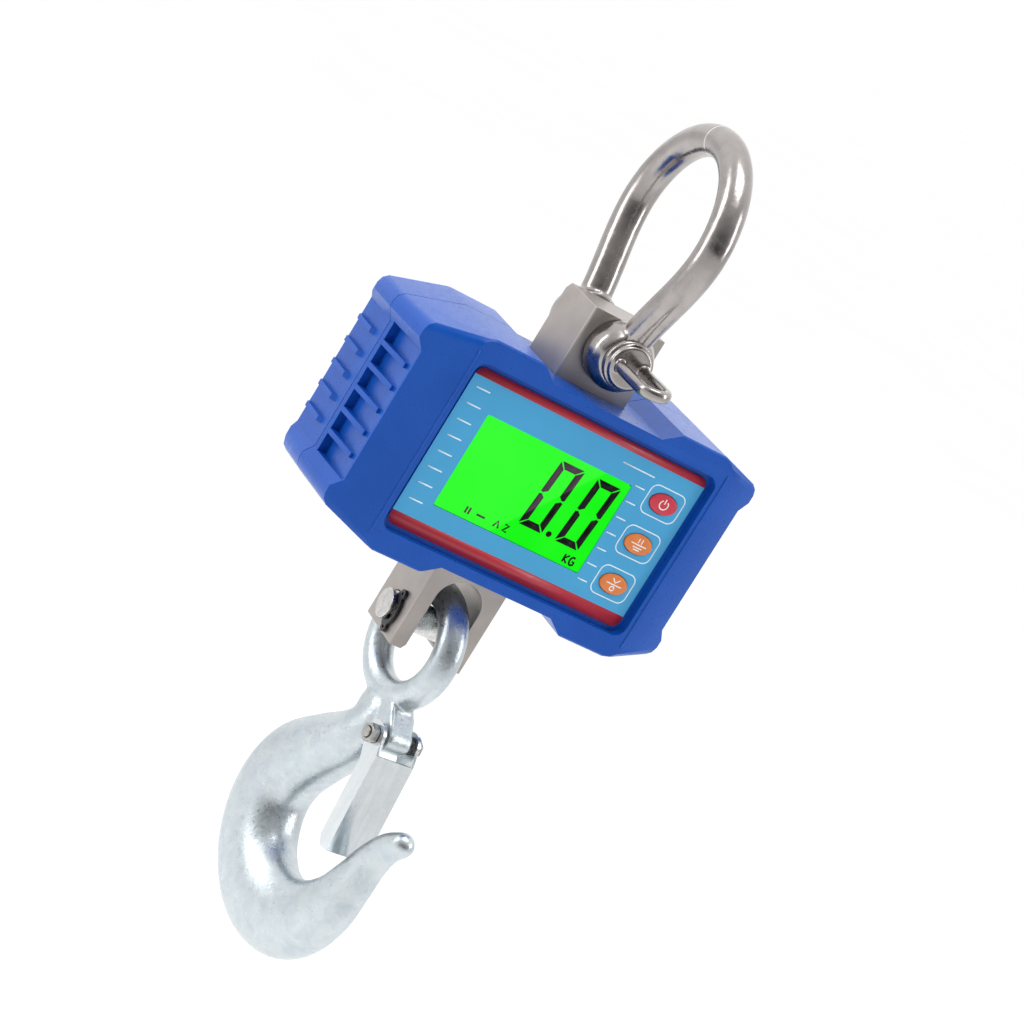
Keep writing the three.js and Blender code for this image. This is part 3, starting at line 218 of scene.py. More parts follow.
def eased(node, name, body, finish, width, angle=32, segments=3):
    """A solid part's own shape with its sharp edges rounded to a radius in millimetres."""
    work = bmesh.new()
    work.from_mesh(frame["nodes"][node].data)
    bmesh.ops.remove_doubles(work, verts=work.verts, dist=2e-6)
    bmesh.ops.dissolve_limit(work, angle_limit=math.radians(0.6), verts=work.verts, edges=work.edges)
    mesh = bpy.data.meshes.new(name)
    work.to_mesh(mesh)
    work.free()
    mesh.shade_smooth()
    thing = piece(name, mesh, body, finish)
    settle(thing,
           ("BEVEL", {"width": width * MM, "segments": segments, "limit_method": "ANGLE",
                      "angle_limit": math.radians(angle), "use_clamp_overlap": True,
                      "miter_outer": "MITER_ARC"}),
           ("WEIGHTED_NORMAL", {"keep_sharp": True, "weight": 90}))
    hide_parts(node)
    return thing


def spline(knots, steps):
    """Smooth curve through knots (rows of any number of values): a cubic between each two, whose
    slope at a knot is half the step between its neighbours."""
    knots = np.asarray(knots, float)
    slope = np.gradient(knots, axis=0)
    t = np.linspace(0, len(knots) - 1, steps)
    i = np.minimum(t.astype(int), len(knots) - 2)
    f = (t - i)[:, None]
    return ((2 * f**3 - 3 * f**2 + 1) * knots[i] + (f**3 - 2 * f**2 + f) * slope[i]
            + (-2 * f**3 + 3 * f**2) * knots[i + 1] + (f**3 - f**2) * slope[i + 1])


def bar_in_plane(path, width, thick, sides=40, power=2.0):
    """Bar along a curve in the YZ plane.  path is rows of (y, z).  A section point is the path plus
    half the width times cos(a) along the curve's normal and half the thickness times sin(a) along X;
    a power above 2 squares the section."""
    along = np.gradient(path, axis=0)
    along /= np.linalg.norm(along, axis=1)[:, None]
    normal = np.stack([-along[:, 1], along[:, 0]], axis=1)
    a = around(sides)
    c = np.sign(np.cos(a)) * np.abs(np.cos(a)) ** (2 / power)
    s = np.sign(np.sin(a)) * np.abs(np.sin(a)) ** (2 / power)
    across = np.asarray(width, float)[:, None] / 2 * c[None, :]
    rings = np.empty((len(path), sides, 3))
    rings[..., 0] = np.asarray(thick, float)[:, None] / 2 * s[None, :]
    rings[..., 1] = path[:, None, 0] + across * normal[:, None, 0]
    rings[..., 2] = path[:, None, 1] + across * normal[:, None, 1]
    return rings


def turned_part(profile, axis, centre, sides=64):
    """Surface of revolution.  profile is rows of (distance along the axis, radius); centre gives the
    other two coordinates in order.  Each row becomes a ring of that radius."""
    profile = np.asarray(profile, float)
    a = around(sides)
    u = centre[0] + profile[:, None, 1] * np.cos(a)[None, :]
    v = centre[1] + profile[:, None, 1] * np.sin(a)[None, :]
    w = np.broadcast_to(profile[:, None, 0], u.shape)
    order = {"x": (w, u, v), "y": (u, w, v), "z": (u, v, w)}[axis]
    return np.stack(order, axis=-1)


def torus(radius, rod, centre, sides=(96, 40)):
    """Ring in the YZ plane: the centre circle plus a rod circle turned with it."""
    a = around(sides[0])[:, None]
    b = around(sides[1])[None, :]
    reach = radius + rod / 2 * np.cos(b)
    return np.stack([np.broadcast_to(rod / 2 * np.sin(b), (sides[0], sides[1])) + centre[0],
                     centre[1] + reach * np.cos(a), centre[2] + reach * np.sin(a)], axis=-1)


def helix(radius, wire, turns, start, end, centre, sides=10, steps_per_turn=28):
    """Round wire wound about the X axis: a circle carried along (x, r cos t, r sin t) on the frame
    of the curve's radius and its binormal."""
    t = np.linspace(0, TURN * turns, int(steps_per_turn * turns))[:, None]
    b = around(sides)[None, :]
    x = start + (end - start) * t / (TURN * turns)
    reach = radius + wire / 2 * np.cos(b)
    points = (x + wire / 2 * np.sin(b), centre[0] + reach * np.cos(t), centre[1] + reach * np.sin(t))
    return np.stack(points, axis=-1)


def ribbon(path, width, face, thick=0.06, closed=False):
    """Printed stroke: a flat band of one width along a path of (x, z) points, standing a little
    proud of a face.  Its edges are the path plus and minus half the width along its normal."""
    path = np.asarray(path, float)
    if closed:
        along = np.roll(path, -1, axis=0) - np.roll(path, 1, axis=0)
    else:
        along = np.gradient(path, axis=0)
    along /= np.linalg.norm(along, axis=1)[:, None]
    normal = np.stack([-along[:, 1], along[:, 0]], axis=1) * width / 2
    left, right = path + normal, path - normal
    face = np.broadcast_to(np.asarray(face, float), (len(path),))
    corners = [(left, face), (right, face), (right, face - thick), (left, face - thick)]
    rings = np.stack([np.stack([p[:, 0], y, p[:, 1]], axis=1) for p, y in corners], axis=1)
    return ringed(rings) if closed else capped(rings)


def plates(outlines, face, thick=0.06):
    """Flat printed areas: each outline of (x, z) points becomes a thin closed plate."""
    parts = []
    for outline in outlines:
        outline = np.asarray(outline, float)
        front = np.column_stack([outline[:, 0], np.full(len(outline), face - thick), outline[:, 1]])
        back = front + [0, thick, 0]
        parts.append(capped(np.stack([front, back])))
    return joined(*parts)


def rounded_outline(width, height, radius, centre, steps=7):
    """Rectangle with round corners, as (x, z) points."""
    a = np.linspace(0, TURN / 4, steps)
    corners = [(1, 1, 0), (-1, 1, 1), (-1, -1, 2), (1, -1, 3)]
    rows = [np.column_stack([
        centre[0] + sx * (width / 2 - radius) + radius * np.cos(a + q * TURN / 4),
        centre[1] + sz * (height / 2 - radius) + radius * np.sin(a + q * TURN / 4)])
        for sx, sz, q in corners]
    return np.concatenate(rows)


# ------------------------ finishes
class Finish:
    """A node material under construction: a Principled shader fed by patterns on Object coordinates."""

    def __init__(self, name, colour, roughness, metallic=0.0):
        self.material = bpy.data.materials.new(name)
        self.material.use_nodes = True
        self.nodes = self.material.node_tree.nodes
        self.links = self.material.node_tree.links
        self.nodes.clear()
        self.shader = self.nodes.new("ShaderNodeBsdfPrincipled")
        output = self.nodes.new("ShaderNodeOutputMaterial")
        self.links.new(self.shader.outputs["BSDF"], output.inputs["Surface"])
        self.place = self.nodes.new("ShaderNodeTexCoord").outputs["Object"]
        self.material.diffuse_color = (*colour, 1)
        self.shader.inputs["Base Color"].default_value = (*colour, 1)
        self.shader.inputs["Roughness"].default_value = roughness
        self.shader.inputs["Metallic"].default_value = metallic
        self.relief = None

    def noise(self, size, detail=3.0, distortion=0.0, stretch=None):
        """Cloudy pattern whose lumps are about size millimetres across."""
        node = self.nodes.new("ShaderNodeTexNoise")
        node.inputs["Scale"].default_value = 1 / (size * MM)
        node.inputs["Detail"].default_value = detail
        node.inputs["Distortion"].default_value = distortion
        source = self.place
        if stretch is not None:
            mapping = self.nodes.new("ShaderNodeMapping")
            mapping.inputs["Scale"].default_value = stretch
            self.links.new(source, mapping.inputs["Vector"])
            source = mapping.outputs["Vector"]
        self.links.new(source, node.inputs["Vector"])
        return node.outputs["Fac"]

    def cells(self, size):
        """Pattern of small cells about size millimetres across, dark at their middles."""
        node = self.nodes.new("ShaderNodeTexVoronoi")
        node.inputs["Scale"].default_value = 1 / (size * MM)
        self.links.new(self.place, node.inputs["Vector"])
        return node.outputs["Distance"]

    def ramp(self, source, low, high, low_out=0.0, high_out=1.0):
        """Maps a pattern's values between low and high to a new range, and holds it outside."""
        node = self.nodes.new("ShaderNodeMapRange")
        self.links.new(source, node.inputs["Value"])
        for key, value in (("From Min", low), ("From Max", high), ("To Min", low_out), ("To Max", high_out)):
            node.inputs[key].default_value = value
        return node.outputs["Result"]

    def side_of(self, normal, offset, soft):
        """0 on one side of a plane and 1 on the other: normal times place (mm) plus offset, over soft."""
        node = self.nodes.new("ShaderNodeVectorMath")
        node.operation = "DOT_PRODUCT"
        node.inputs[1].default_value = [value / MM for value in normal]
        self.links.new(self.place, node.inputs[0])
        return self.ramp(node.outputs["Value"], -offset - soft, -offset + soft)

    def band(self, normal, middle_at, half, soft):
        """1 on a band about a plane and 0 away from it: the step onto it less the step off it."""
        return self.combine("SUBTRACT", self.side_of(normal, half - middle_at, soft),
                            self.side_of(normal, -half - middle_at, soft))

    def combine(self, operation, *values):
        """Arithmetic on patterns and plain numbers."""
        node = self.nodes.new("ShaderNodeMath")
        node.operation = operation
        for socket, value in zip(node.inputs, values):
            if isinstance(value, float):
                socket.default_value = value
            else:
                self.links.new(value, socket)
        return node.outputs[0]

    def mix(self, factor, second, target):
        """Feeds a shader input from a blend by a pattern; gives back the socket of its first colour."""
        node = self.nodes.new("ShaderNodeMix")
        node.data_type = "RGBA"
        self.links.new(factor, node.inputs["Factor"])
        node.inputs[7].default_value = (*second, 1)
        self.links.new(node.outputs[2], self.shader.inputs[target])
        return node.inputs[6]

    def tint(self, factor, first, second, target="Base Color"):
        """Blends two colours by a pattern."""
        self.mix(factor, second, target).default_value = (*first, 1)
        return self

    def over(self, factor, colour):
        """Lays a colour over what already feeds the base colour, by a pattern."""
        under = self.shader.inputs["Base Color"].links[0].from_socket
        self.links.new(under, self.mix(factor, colour, "Base Color"))
        return self

    def rough(self, source, low, high):
        """Roughness that follows a pattern."""
        self.links.new(self.ramp(source, 0.3, 0.7, low, high), self.shader.inputs["Roughness"])
        return self

    def bump(self, source, height):
        """Relief of about height millimetres."""
        node = self.nodes.new("ShaderNodeBump")
        node.inputs["Distance"].default_value = height * MM
        node.inputs["Strength"].default_value = 1.0
        self.links.new(source, node.inputs["Height"])
        if self.relief is not None:
            self.links.new(self.relief, node.inputs["Normal"])
        self.relief = node.outputs["Normal"]
        self.links.new(self.relief, self.shader.inputs["Normal"])
        return self

    def edge(self, radius):
        """Rounds the look of sharp edges to a radius in millimetres."""
        node = self.nodes.new("ShaderNodeBevel")
        node.samples = 4
        node.inputs["Radius"].default_value = radius * MM
        self.relief = node.outputs["Normal"]
        self.links.new(self.relief, self.shader.inputs["Normal"])
        return self

    def glow(self, strength):
        """Light given off, in the shader's emission colour."""
        self.shader.inputs["Emission Strength"].default_value = strength
        return self


def polished_stainless(tone, seam=None):
    """Polished stainless steel: long faint polishing clouds, a trace of tool marks, and where asked a
    thin light line across the rod at a given Y, where the forging dies met."""
    look = Finish("polished_stainless", tone, 0.2, 1.0)
    cloud = look.noise(9, 4, 0.4)
    look.tint(look.ramp(cloud, 0.35, 0.7), tone, [c * 0.82 for c in tone])
    look.rough(look.noise(3.5, 5), 0.16, 0.3)
    look.bump(look.noise(13, 2), 0.35).bump(look.noise(1.2, 4), 0.012)
    if seam is not None:
        look.over(look.band((0, 1, 0), seam, 0.2, 0.1), (0.95, 0.95, 0.95))
    return look.material


def blasted_nickel(tone):
    """Bead-blasted nickel plate: warm grey with a fine even grain."""
    look = Finish("blasted_nickel", tone, 0.42, 0.85)
    look.tint(look.ramp(look.noise(16, 4), 0.35, 0.65), tone, [c * 0.88 for c in tone])
    look.rough(look.noise(0.6, 3), 0.36, 0.5)
    return look.bump(look.noise(0.5, 2), 0.02).material


def zinc_forging(tone):
    """Zinc plate over a forged skin: bluish, with a lumpy orange-peel grain and bright rubbed spots."""
    look = Finish("zinc_forging", tone, 0.3, 0.92)
    dull = [tone[0] * 0.86, tone[1] * 0.89, tone[2] * 0.92]
    look.tint(look.ramp(look.noise(7, 5, 0.6), 0.38, 0.68), tone, dull)
    look.rough(look.noise(1.8, 4), 0.24, 0.44)
    return look.bump(look.noise(9, 3, 0.5), 0.2).bump(look.noise(1.1, 4, 0.5), 0.1).material


def zinc_sheet(tone):
    """Zinc-plated sheet: smooth, with faint rolling streaks."""
    look = Finish("zinc_sheet", tone, 0.2, 0.95)
    streak = look.noise(3, 4, 0.0, (1, 1, 0.08))
    look.tint(look.ramp(streak, 0.3, 0.7), tone, [c * 0.9 for c in tone])
    look.rough(streak, 0.14, 0.3)
    return look.bump(look.noise(6, 2), 0.1).material


def housing_plastic(tone):
    """Glossy moulded ABS: saturated, with a faint drift of colour and of gloss."""
    look = Finish("housing_plastic", tone, 0.3)
    light = [min(1, c * 1.1 + 0.002) for c in tone]
    look.tint(look.ramp(look.noise(22, 4), 0.35, 0.65), tone, light)
    look.shader.inputs["Specular IOR Level"].default_value = 0.26
    return look.rough(look.noise(2.2, 4), 0.26, 0.36).material


def printed_film(name, tone, other):
    """Printed and laminated film: near-flat colour with a faint screen texture under a gloss."""
    look = Finish(name, tone, 0.32)
    look.tint(look.ramp(look.noise(30, 3), 0.35, 0.65), tone, other)
    return look.rough(look.noise(1.5, 3), 0.3, 0.42).material


def above_glare(look, soft):
    """1 above the slanting edge of glare on the display, and 0 below it."""
    return look.side_of((-0.803, 0, 0.596), 0.596 * -HOUSING[2] + 0.26, soft)


def lit_display(tone):
    """Lit liquid-crystal pane: bright green, paler above a slanting edge of glare."""
    look = Finish("lit_display", [c * 0.02 for c in tone], 0.3)
    look.shader.inputs["Specular IOR Level"].default_value = 0.1
    cloud = look.ramp(look.noise(26, 2), 0.3, 0.7, 0.0, 0.35)
    fade = look.combine("MULTIPLY_ADD", above_glare(look, 0.6), 0.65, cloud)
    look.tint(fade, tone, (0.035, 1.0, 0.03), "Emission Color")
    return look.glow(1.0).material


def display_segment():
    """Black display segments, greyed above the slanting edge of glare."""
    black = (0.004, 0.004, 0.004)
    look = Finish("display_segment", black, 0.4)
    look.shader.inputs["Specular IOR Level"].default_value = 0.1
    grain = look.ramp(look.noise(0.4, 2), 0.2, 0.8, 0.85, 1.0)
    look.tint(look.combine("MULTIPLY", above_glare(look, 0.3), grain), black, (0.075, 0.05, 0.07))
    return look.material


def key_rubber(name, tone):
    """Soft key top: even colour with a fine print grain."""
    look = Finish(name, tone, 0.4)
    look.tint(look.ramp(look.noise(5, 3), 0.3, 0.7), tone, [min(1, c * 1.18) for c in tone])
    return look.rough(look.noise(0.8, 2), 0.34, 0.48).material


def plain_plastic(name, tone, roughness):
    """Moulded plastic or rubber: a little colour drift and a fine spark-eroded grain."""
    look = Finish(name, tone, roughness).edge(0.25)
    look.tint(look.ramp(look.noise(9, 3), 0.3, 0.7), tone, [c * 0.85 for c in tone])
    look.rough(look.noise(0.9, 3), roughness - 0.06, roughness + 0.08)
    return look.bump(look.noise(0.4, 2), 0.01).material


def plain_steel(name, tone, roughness):
    """Turned or pressed small steel parts: streaked grain with darker handling marks."""
    look = Finish(name, tone, roughness, 1.0).edge(0.25)
    look.tint(look.ramp(look.noise(3, 4), 0.35, 0.7), tone, [c * 0.75 for c in tone])
    look.rough(look.noise(0.7, 4), roughness - 0.08, roughness + 0.12)
    return look.bump(look.noise(0.3, 2), 0.008).material


def board_laminate():
    """Green circuit board: solder-mask gloss over a faint pattern of tracks."""
    look = Finish("board_laminate", (0.01, 0.12, 0.04), 0.35)
    look.tint(look.ramp(look.cells(2.2), 0.1, 0.5), (0.01, 0.12, 0.04), (0.02, 0.2, 0.07))
    look.rough(look.noise(1.2, 3), 0.3, 0.42)
    return look.bump(look.cells(2.2), 0.02).material


def floor_paint(tone):
    """Matt pale studio floor with a trace of unevenness."""
    look = Finish("floor_paint", tone, 0.9)
    look.tint(look.ramp(look.noise(400, 2), 0.3, 0.7), tone, [c * 0.985 for c in tone])
    return look.material


# ------------------------ settings
def colour_setting(name, description, default):
    """A colour that a user can change."""
    return bpy.props.FloatVectorProperty(name=name, description=description, subtype="COLOR",
                                         size=3, min=0.0, max=1.0, default=default)


def length_setting(name, description, millimetres):
    """A length that a user can change."""
    return bpy.props.FloatProperty(name=name, description=description, subtype="DISTANCE",
                                   unit="LENGTH", default=millimetres * MM)


class MetalSettings(bpy.types.PropertyGroup):
    """Tones of the metal parts and the sizes of the rounded forgings."""

    stainless: colour_setting("Stainless", "Tone of the polished shackle and its pin", (0.37, 0.345, 0.333))
    nickel: colour_setting("Nickel", "Tone of the blasted load cell", (0.42, 0.383, 0.358))
    zinc: colour_setting("Zinc", "Tone of the plated hook", (0.52, 0.565, 0.585))
    sheet: colour_setting("Sheet", "Tone of the plated latch", (0.68, 0.72, 0.74))
    rod: length_setting("Bow rod", "Diameter of the shackle's rod", 13.4)
    ring: length_setting("Hook ring", "Diameter of the hook ring's rod", 12.8)


class HousingSettings(bpy.types.PropertyGroup):
    """Colours and edges of the housing."""

    shell: colour_setting("Shell", "Colour of the moulded shells", (0.002, 0.068, 0.37))
    edge: length_setting("Edge", "Radius of the shells' moulded edges", 0.7)


class DisplaySettings(bpy.types.PropertyGroup):
    """Colours of the display and its keys, and the size of the digits."""

    film: colour_setting("Film", "Ground colour of the display label", (0.043, 0.34, 0.63))
    stripe: colour_setting("Stripe", "Colour of the label's two stripes", (0.42, 0.02, 0.035))
    screen: colour_setting("Screen", "Colour of the lit display", (0.0, 0.91, 0.0))
    power: colour_setting("Power key", "Colour of the power key", (0.50, 0.022, 0.045))
    other: colour_setting("Other keys", "Colour of the two lower keys", (0.62, 0.17, 0.035))
    digit: length_setting("Digit height", "Height of the display's digits", 30.1)


class StageSettings(bpy.types.PropertyGroup):
    """Camera, floor and light."""

    lens: bpy.props.FloatProperty(name="Lens", description="Focal length of the camera on a 36 mm sensor",
                                  subtype="DISTANCE_CAMERA", default=111.893)
    roll: bpy.props.FloatProperty(name="Roll", description="Turn of the camera about its own axis",
                                  subtype="ANGLE", default=math.radians(31.7575))
    drop: length_setting("Drop", "Height at which the hook hangs over the floor", 420)
    floor: colour_setting("Floor", "Tone of the studio floor", (0.98, 0.98, 0.98))


# ------------------------ shackle
def bow_path(steps):
    """Centreline of the bow in the YZ plane: a leg that swells out of each ear by a cubic with two
    handles, and a half circle over the crown."""
    low, high = extent("shackle_bow")
    rod = bpy.context.scene.crane_metal.rod / MM
    radius = (high[1] - low[1] - rod) / 2
    lean = (high[1] + low[1]) / 2
    crown = high[2] - rod / 2 - radius
    foot = SHACKLE_PIN[2]
    ear = EAR_INNER + EAR_THICK / 2
    t = np.linspace(0, 1, steps)[:, None]

    def leg(side):
        knots = np.array([[side * ear, foot], [side * (ear + 1.5) + lean / 2, foot + 21],
                          [side * radius + lean, crown - 18], [side * radius + lean, crown]])
        return ((1 - t)**3 * knots[0] + 3 * (1 - t)**2 * t * knots[1]
                + 3 * (1 - t) * t**2 * knots[2] + t**3 * knots[3])

    a = np.linspace(0, math.pi, 2 * steps)[1:-1]
    arch = np.column_stack([lean - radius * np.cos(a), crown + radius * np.sin(a)])
    front, rear = leg(-1), leg(1)[::-1]
    keep = front[:, 1] > foot + 8.6
    path = np.concatenate([front[keep], arch, rear[keep[::-1]]])
    return path, np.full(len(path), rod)


def bow_ear(side):
    """Ear of the shackle: a ring turned about the pin, flat inside, domed outside, with a bore."""
    profile = np.array([[0.0, EAR_BORE], [0.0, 13.2], [0.8, 14.0], [5.5, 14.0], [8.6, 13.4], [11.0, 12.0],
                        [12.3, 11.0], [EAR_THICK, 10.6], [EAR_THICK, EAR_BORE], [6.0, EAR_BORE]])
    profile[:, 0] = side * (EAR_INNER + profile[:, 0])
    return ringed(turned_part(profile, "y", (SHACKLE_PIN[0], SHACKLE_PIN[2]), 72))


def screw_pin_parts():
    """Screw pin: a turned shank with a chamfered tip, two stepped collars, and a flat forged eye whose
    section is a squared oval carried round a long loop."""
    low, high = extent("shackle_pin")
    face = -(EAR_INNER + EAR_THICK) - 0.3
    shank = np.array([[high[1], 0.02], [high[1], 5.6], [high[1] - 1.4, SHANK], [face + 0.2, SHANK],
                      [face, 7.6], [face, COLLAR - 0.4], [face - 0.4, COLLAR], [face - 2.4, COLLAR],
                      [face - 2.8, COLLAR - 0.4], [face - 2.9, 9.2], [face - 4.5, 9.0],
                      [face - 5.0, 8.5], [face - 5.1, 0.02]])
    body = capped(turned_part(shank, "y", (0, SHACKLE_PIN[2]), 72))
    a = around(96)
    length = face - low[1] - EYE_REACH - 2.3
    far, near = face - length + 0.6, face - 3.2
    y = np.where(np.cos(a) > 0, far, near) - EYE_REACH * np.cos(a)
    x = EYE_REACH * np.sin(a)
    b = around(24)
    cross = np.sign(np.cos(b)) * np.abs(np.cos(b)) ** 0.8 * EYE_SIDE
    rise = np.sign(np.sin(b)) * np.abs(np.sin(b)) ** 0.8 * EYE_RISE
    out = np.stack([np.sin(a), -np.cos(a)], axis=1)
    px = x[:, None] + cross[None, :] * out[:, None, 0]
    py = y[:, None] + cross[None, :] * out[:, None, 1]
    pz = np.broadcast_to(rise[None, :], px.shape)
    loop = np.stack([px * math.cos(EYE_TURN) + pz * math.sin(EYE_TURN), py,
                     SHACKLE_PIN[2] - px * math.sin(EYE_TURN) + pz * math.cos(EYE_TURN)], axis=-1)
    return body, ringed(loop)


class CRANE_OT_shackle(bpy.types.Operator):
    """Build the bow shackle and its screw pin"""

    bl_idname = "crane.shackle"
    bl_label = "Shackle"

    def execute(self, context):
        tone = tuple(context.scene.crane_metal.stainless)
        steel = polished_stainless(tone, SEAM_Y)
        path, width = bow_path(28)
        rod = capped(bar_in_plane(path, width, width, 40))
        bow = piece("forged_bow", mesh_of("forged_bow", *joined(rod, bow_ear(-1), bow_ear(1))),
                    "shackle", steel)
        melted(bow, voxel=0.62, rounds=6)
        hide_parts("shackle_bow")
        body, loop = screw_pin_parts()
        pin = piece("screw_pin_head", mesh_of("screw_pin_head", *joined(body, loop)),
                    "screw_pin", polished_stainless(tone))
        melted(pin, voxel=0.42, rounds=3)
        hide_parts("shackle_pin")
        return {"FINISHED"}


# ------------------------ load cell
class CRANE_OT_load_cell(bpy.types.Operator):
    """Dress the load cell, its hook pin and the two circlips"""

    bl_idname = "crane.load_cell"
    bl_label = "Load cell"

    def execute(self, context):
        nickel = blasted_nickel(tuple(context.scene.crane_metal.nickel))
        bright = plain_steel("bright_pin", (0.62, 0.61, 0.6), 0.25)
        black = plain_plastic("black_phosphate", (0.012, 0.012, 0.014), 0.36)
        eased("load_cell", "machined_cell", "scale_body", nickel, 0.7)
        eased("hook_pin", "hook_pin_bar", "pin", bright, 0.6)
        for side in ("left", "right"):
            eased(f"circlip_{side}", f"circlip_ring_{side}", "pin", black, 0.15,
                  segments=2)
        return {"FINISHED"}


# ------------------------ housing
def bezel_ridge(side):
    """Moulded ridge along a side of the bezel: a low flat bead of one width."""
    z = np.linspace(-41.2, 41.2, 40)
    path = np.column_stack([np.full(40, side * 61.9), z + HOUSING[2]])
    return ribbon(path, 1.1, extent("front_shell")[0][1], 0.22)


class CRANE_OT_housing(bpy.types.Operator):
    """Dress the two shells, the battery door and the bezel's ridges"""

    bl_idname = "crane.housing"
    bl_label = "Housing"

    def execute(self, context):
        look = context.scene.crane_housing
        blue = housing_plastic(tuple(look.shell))
        edge = look.edge / MM
        eased("front_shell", "front_moulding", "scale_body", blue, edge)
        eased("rear_shell", "rear_moulding", "scale_body", blue, edge)
        eased("battery_door", "door_moulding", "door", blue, 0.4)
        ridges = joined(bezel_ridge(-1), bezel_ridge(1))
        piece("bezel_ridges", mesh_of("bezel_ridges", *ridges), "scale_body", blue)
        return {"FINISHED"}


# ------------------------ display
def on_label(points):
    """Label coordinates (from the label's centre) as object coordinates."""
    return np.asarray(points, float) + [HOUSING[0], HOUSING[2]]


def straight(x0, z0, x1, z1):
    """Two-point path on the label."""
    return on_label(np.linspace([x0, z0], [x1, z1], 2))


def stripe_outlines():
    """Two stripes across the label, rounded where they meet its corners."""
    low, high = extent("display_label")
    half = (high[0] - low[0]) / 2
    top = (high[2] - low[2]) / 2
    a = np.linspace(0, TURN / 4, 6)
    r = 3.4
    left = np.column_stack([-half + r - r * np.sin(a), -top + r - r * np.cos(a)])
    right = np.column_stack([half - r + r * np.cos(a), -top + r - r * np.sin(a)])
    bottom = np.concatenate([left, [[-half, -29.9], [half, -29.9]], right])
    upper = bottom.copy()
    upper[:, 1] *= -1
    upper[upper[:, 1] < 30, 1] = 32.0  # the upper stripe is the narrower
    return [on_label(bottom), on_label(upper[::-1])]


def label_marks():
    """White strokes of the label: index lines at both sides, a long line, and a frame round each key."""
    strokes = [ribbon(straight(-53.7, z, -47.1, z), 0.55, LABEL_FACE) for z in 27.5 - 7.23 * np.arange(8)]
    strokes += [ribbon(straight(29.4, z, 34.1, z), 0.55, LABEL_FACE) for z in 20.5 - 7.3 * np.arange(7)]
    strokes.append(ribbon(straight(19, 26.8, 35, 26.8), 0.55, LABEL_FACE))
    for name in ("key_power", "key_hold", "key_tare"):
        centre = middle(name)
        outline = rounded_outline(17, 13, 3.2, (centre[0], centre[2]))
        strokes.append(ribbon(outline, 0.5, LABEL_FACE, closed=True))
    return joined(*strokes)


def digit_outlines(x0, h):
    """The six lit bars of a leaning nought.  In upright digit coordinates each bar is a mitred strip;
    leaning adds 0.08 of the height to x."""
    w, t, g = 11.6, 2.9, 0.25
    m = h / 2
    bars = [
        [(g * 2, h), (w - g * 2, h), (w - t - g, h - t), (t + g, h - t)],
        [(g * 2, 0), (t + g, t), (w - t - g, t), (w - g * 2, 0)],
        [(0, h - g * 2), (t, h - t - g), (t, m + t * 0.55), (t * 0.4, m + g), (0, m + g * 2.4)],
        [(0, g * 2), (0, m - g * 2.4), (t * 0.4, m - g), (t, m - t * 0.55), (t, t + g)],
        [(w, h - g * 2), (w, m + g * 2.4), (w - t * 0.4, m + g), (w - t, m + t * 0.55), (w - t, h - t - g)],
        [(w, g * 2), (w - t, t + g), (w - t, m - t * 0.55), (w - t * 0.4, m - g), (w, m - g * 2.4)]]
    return [on_label([(x0 + x + 0.08 * z, z - 13.6) for x, z in bar]) for bar in bars]


def dot_outline(x, z, radius, steps=24):
    """Round dot on the display."""
    a = around(steps)
    return on_label(np.column_stack([x + radius * np.cos(a), z + radius * np.sin(a)]))


def unit_strokes():
    """Small legends under the digits: the unit sign KG at the right; at the left two uprights, a bar, a
    caret and a mark shaped like a Z."""
    k = [[(19.2, -20.1), (19.2, -16.6)], [(21.1, -16.6), (19.3, -18.5), (21.1, -20.1)]]
    a = np.radians(np.linspace(50, 310, 14))
    g = [np.column_stack([23.2 + 1.15 * np.cos(a), -18.35 + 1.75 * np.sin(a)]),
         [(23.2, -18.5), (24.2, -18.5), (24.2, -20.0)]]
    marks = [[(-29.5, -16.3), (-29.5, -19.2)], [(-28.0, -16.3), (-28.0, -19.2)],
             [(-24.5, -17.75), (-20.5, -17.75)], [(-15.8, -19.2), (-14.6, -16.4), (-13.4, -19.2)],
             [(-11.2, -16.4), (-9.2, -16.4), (-11.2, -19.2), (-9.2, -19.2)]]
    return [ribbon(on_label(path), 0.85, GLASS_FACE, 0.05) for path in k + g + marks]


class CRANE_OT_display(bpy.types.Operator):
    """Build the label's print and the lit display with its digits"""

    bl_idname = "crane.display"
    bl_label = "Display"

    def execute(self, context):
        look = context.scene.crane_display
        film = tuple(look.film)
        stripe = tuple(look.stripe)
        nodes = frame["nodes"]
        cover(nodes["display_label"], printed_film("label_film", film, [c * 0.94 for c in film]))
        cover(nodes["lcd_glass"], lit_display(tuple(look.screen)))
        cover(nodes["lcd_backlight"], plain_plastic("light_guide", (0.8, 0.82, 0.8), 0.4))
        piece("label_stripes", mesh_of("label_stripes", *plates(stripe_outlines(), LABEL_FACE, 0.04)),
              "scale_body", printed_film("stripe_print", stripe, [c * 0.9 for c in stripe]))
        piece("label_lines", mesh_of("label_lines", *label_marks()), "scale_body",
              printed_film("white_print", (0.72, 0.86, 0.93), (0.66, 0.8, 0.9)))
        height = look.digit / MM
        outlines = digit_outlines(11.1, height) + digit_outlines(-7.0, height)
        outlines.append(dot_outline(7.6, -12.4, 1.25))
        shapes = joined(plates(outlines, GLASS_FACE, 0.05), *unit_strokes())
        piece("display_digits", mesh_of("display_digits", *shapes), "scale_body",
              display_segment())
        return {"FINISHED"}


# ------------------------ keys
def key_face(centre, x, z):
    """Height of a key's crowned top: a shallow paraboloid over its oval outline."""
    reach = ((x - centre[0]) / KEY_X) ** 2 + ((z - centre[2]) / KEY_Z) ** 2
    return -KEY_CROWN * (1 - reach)


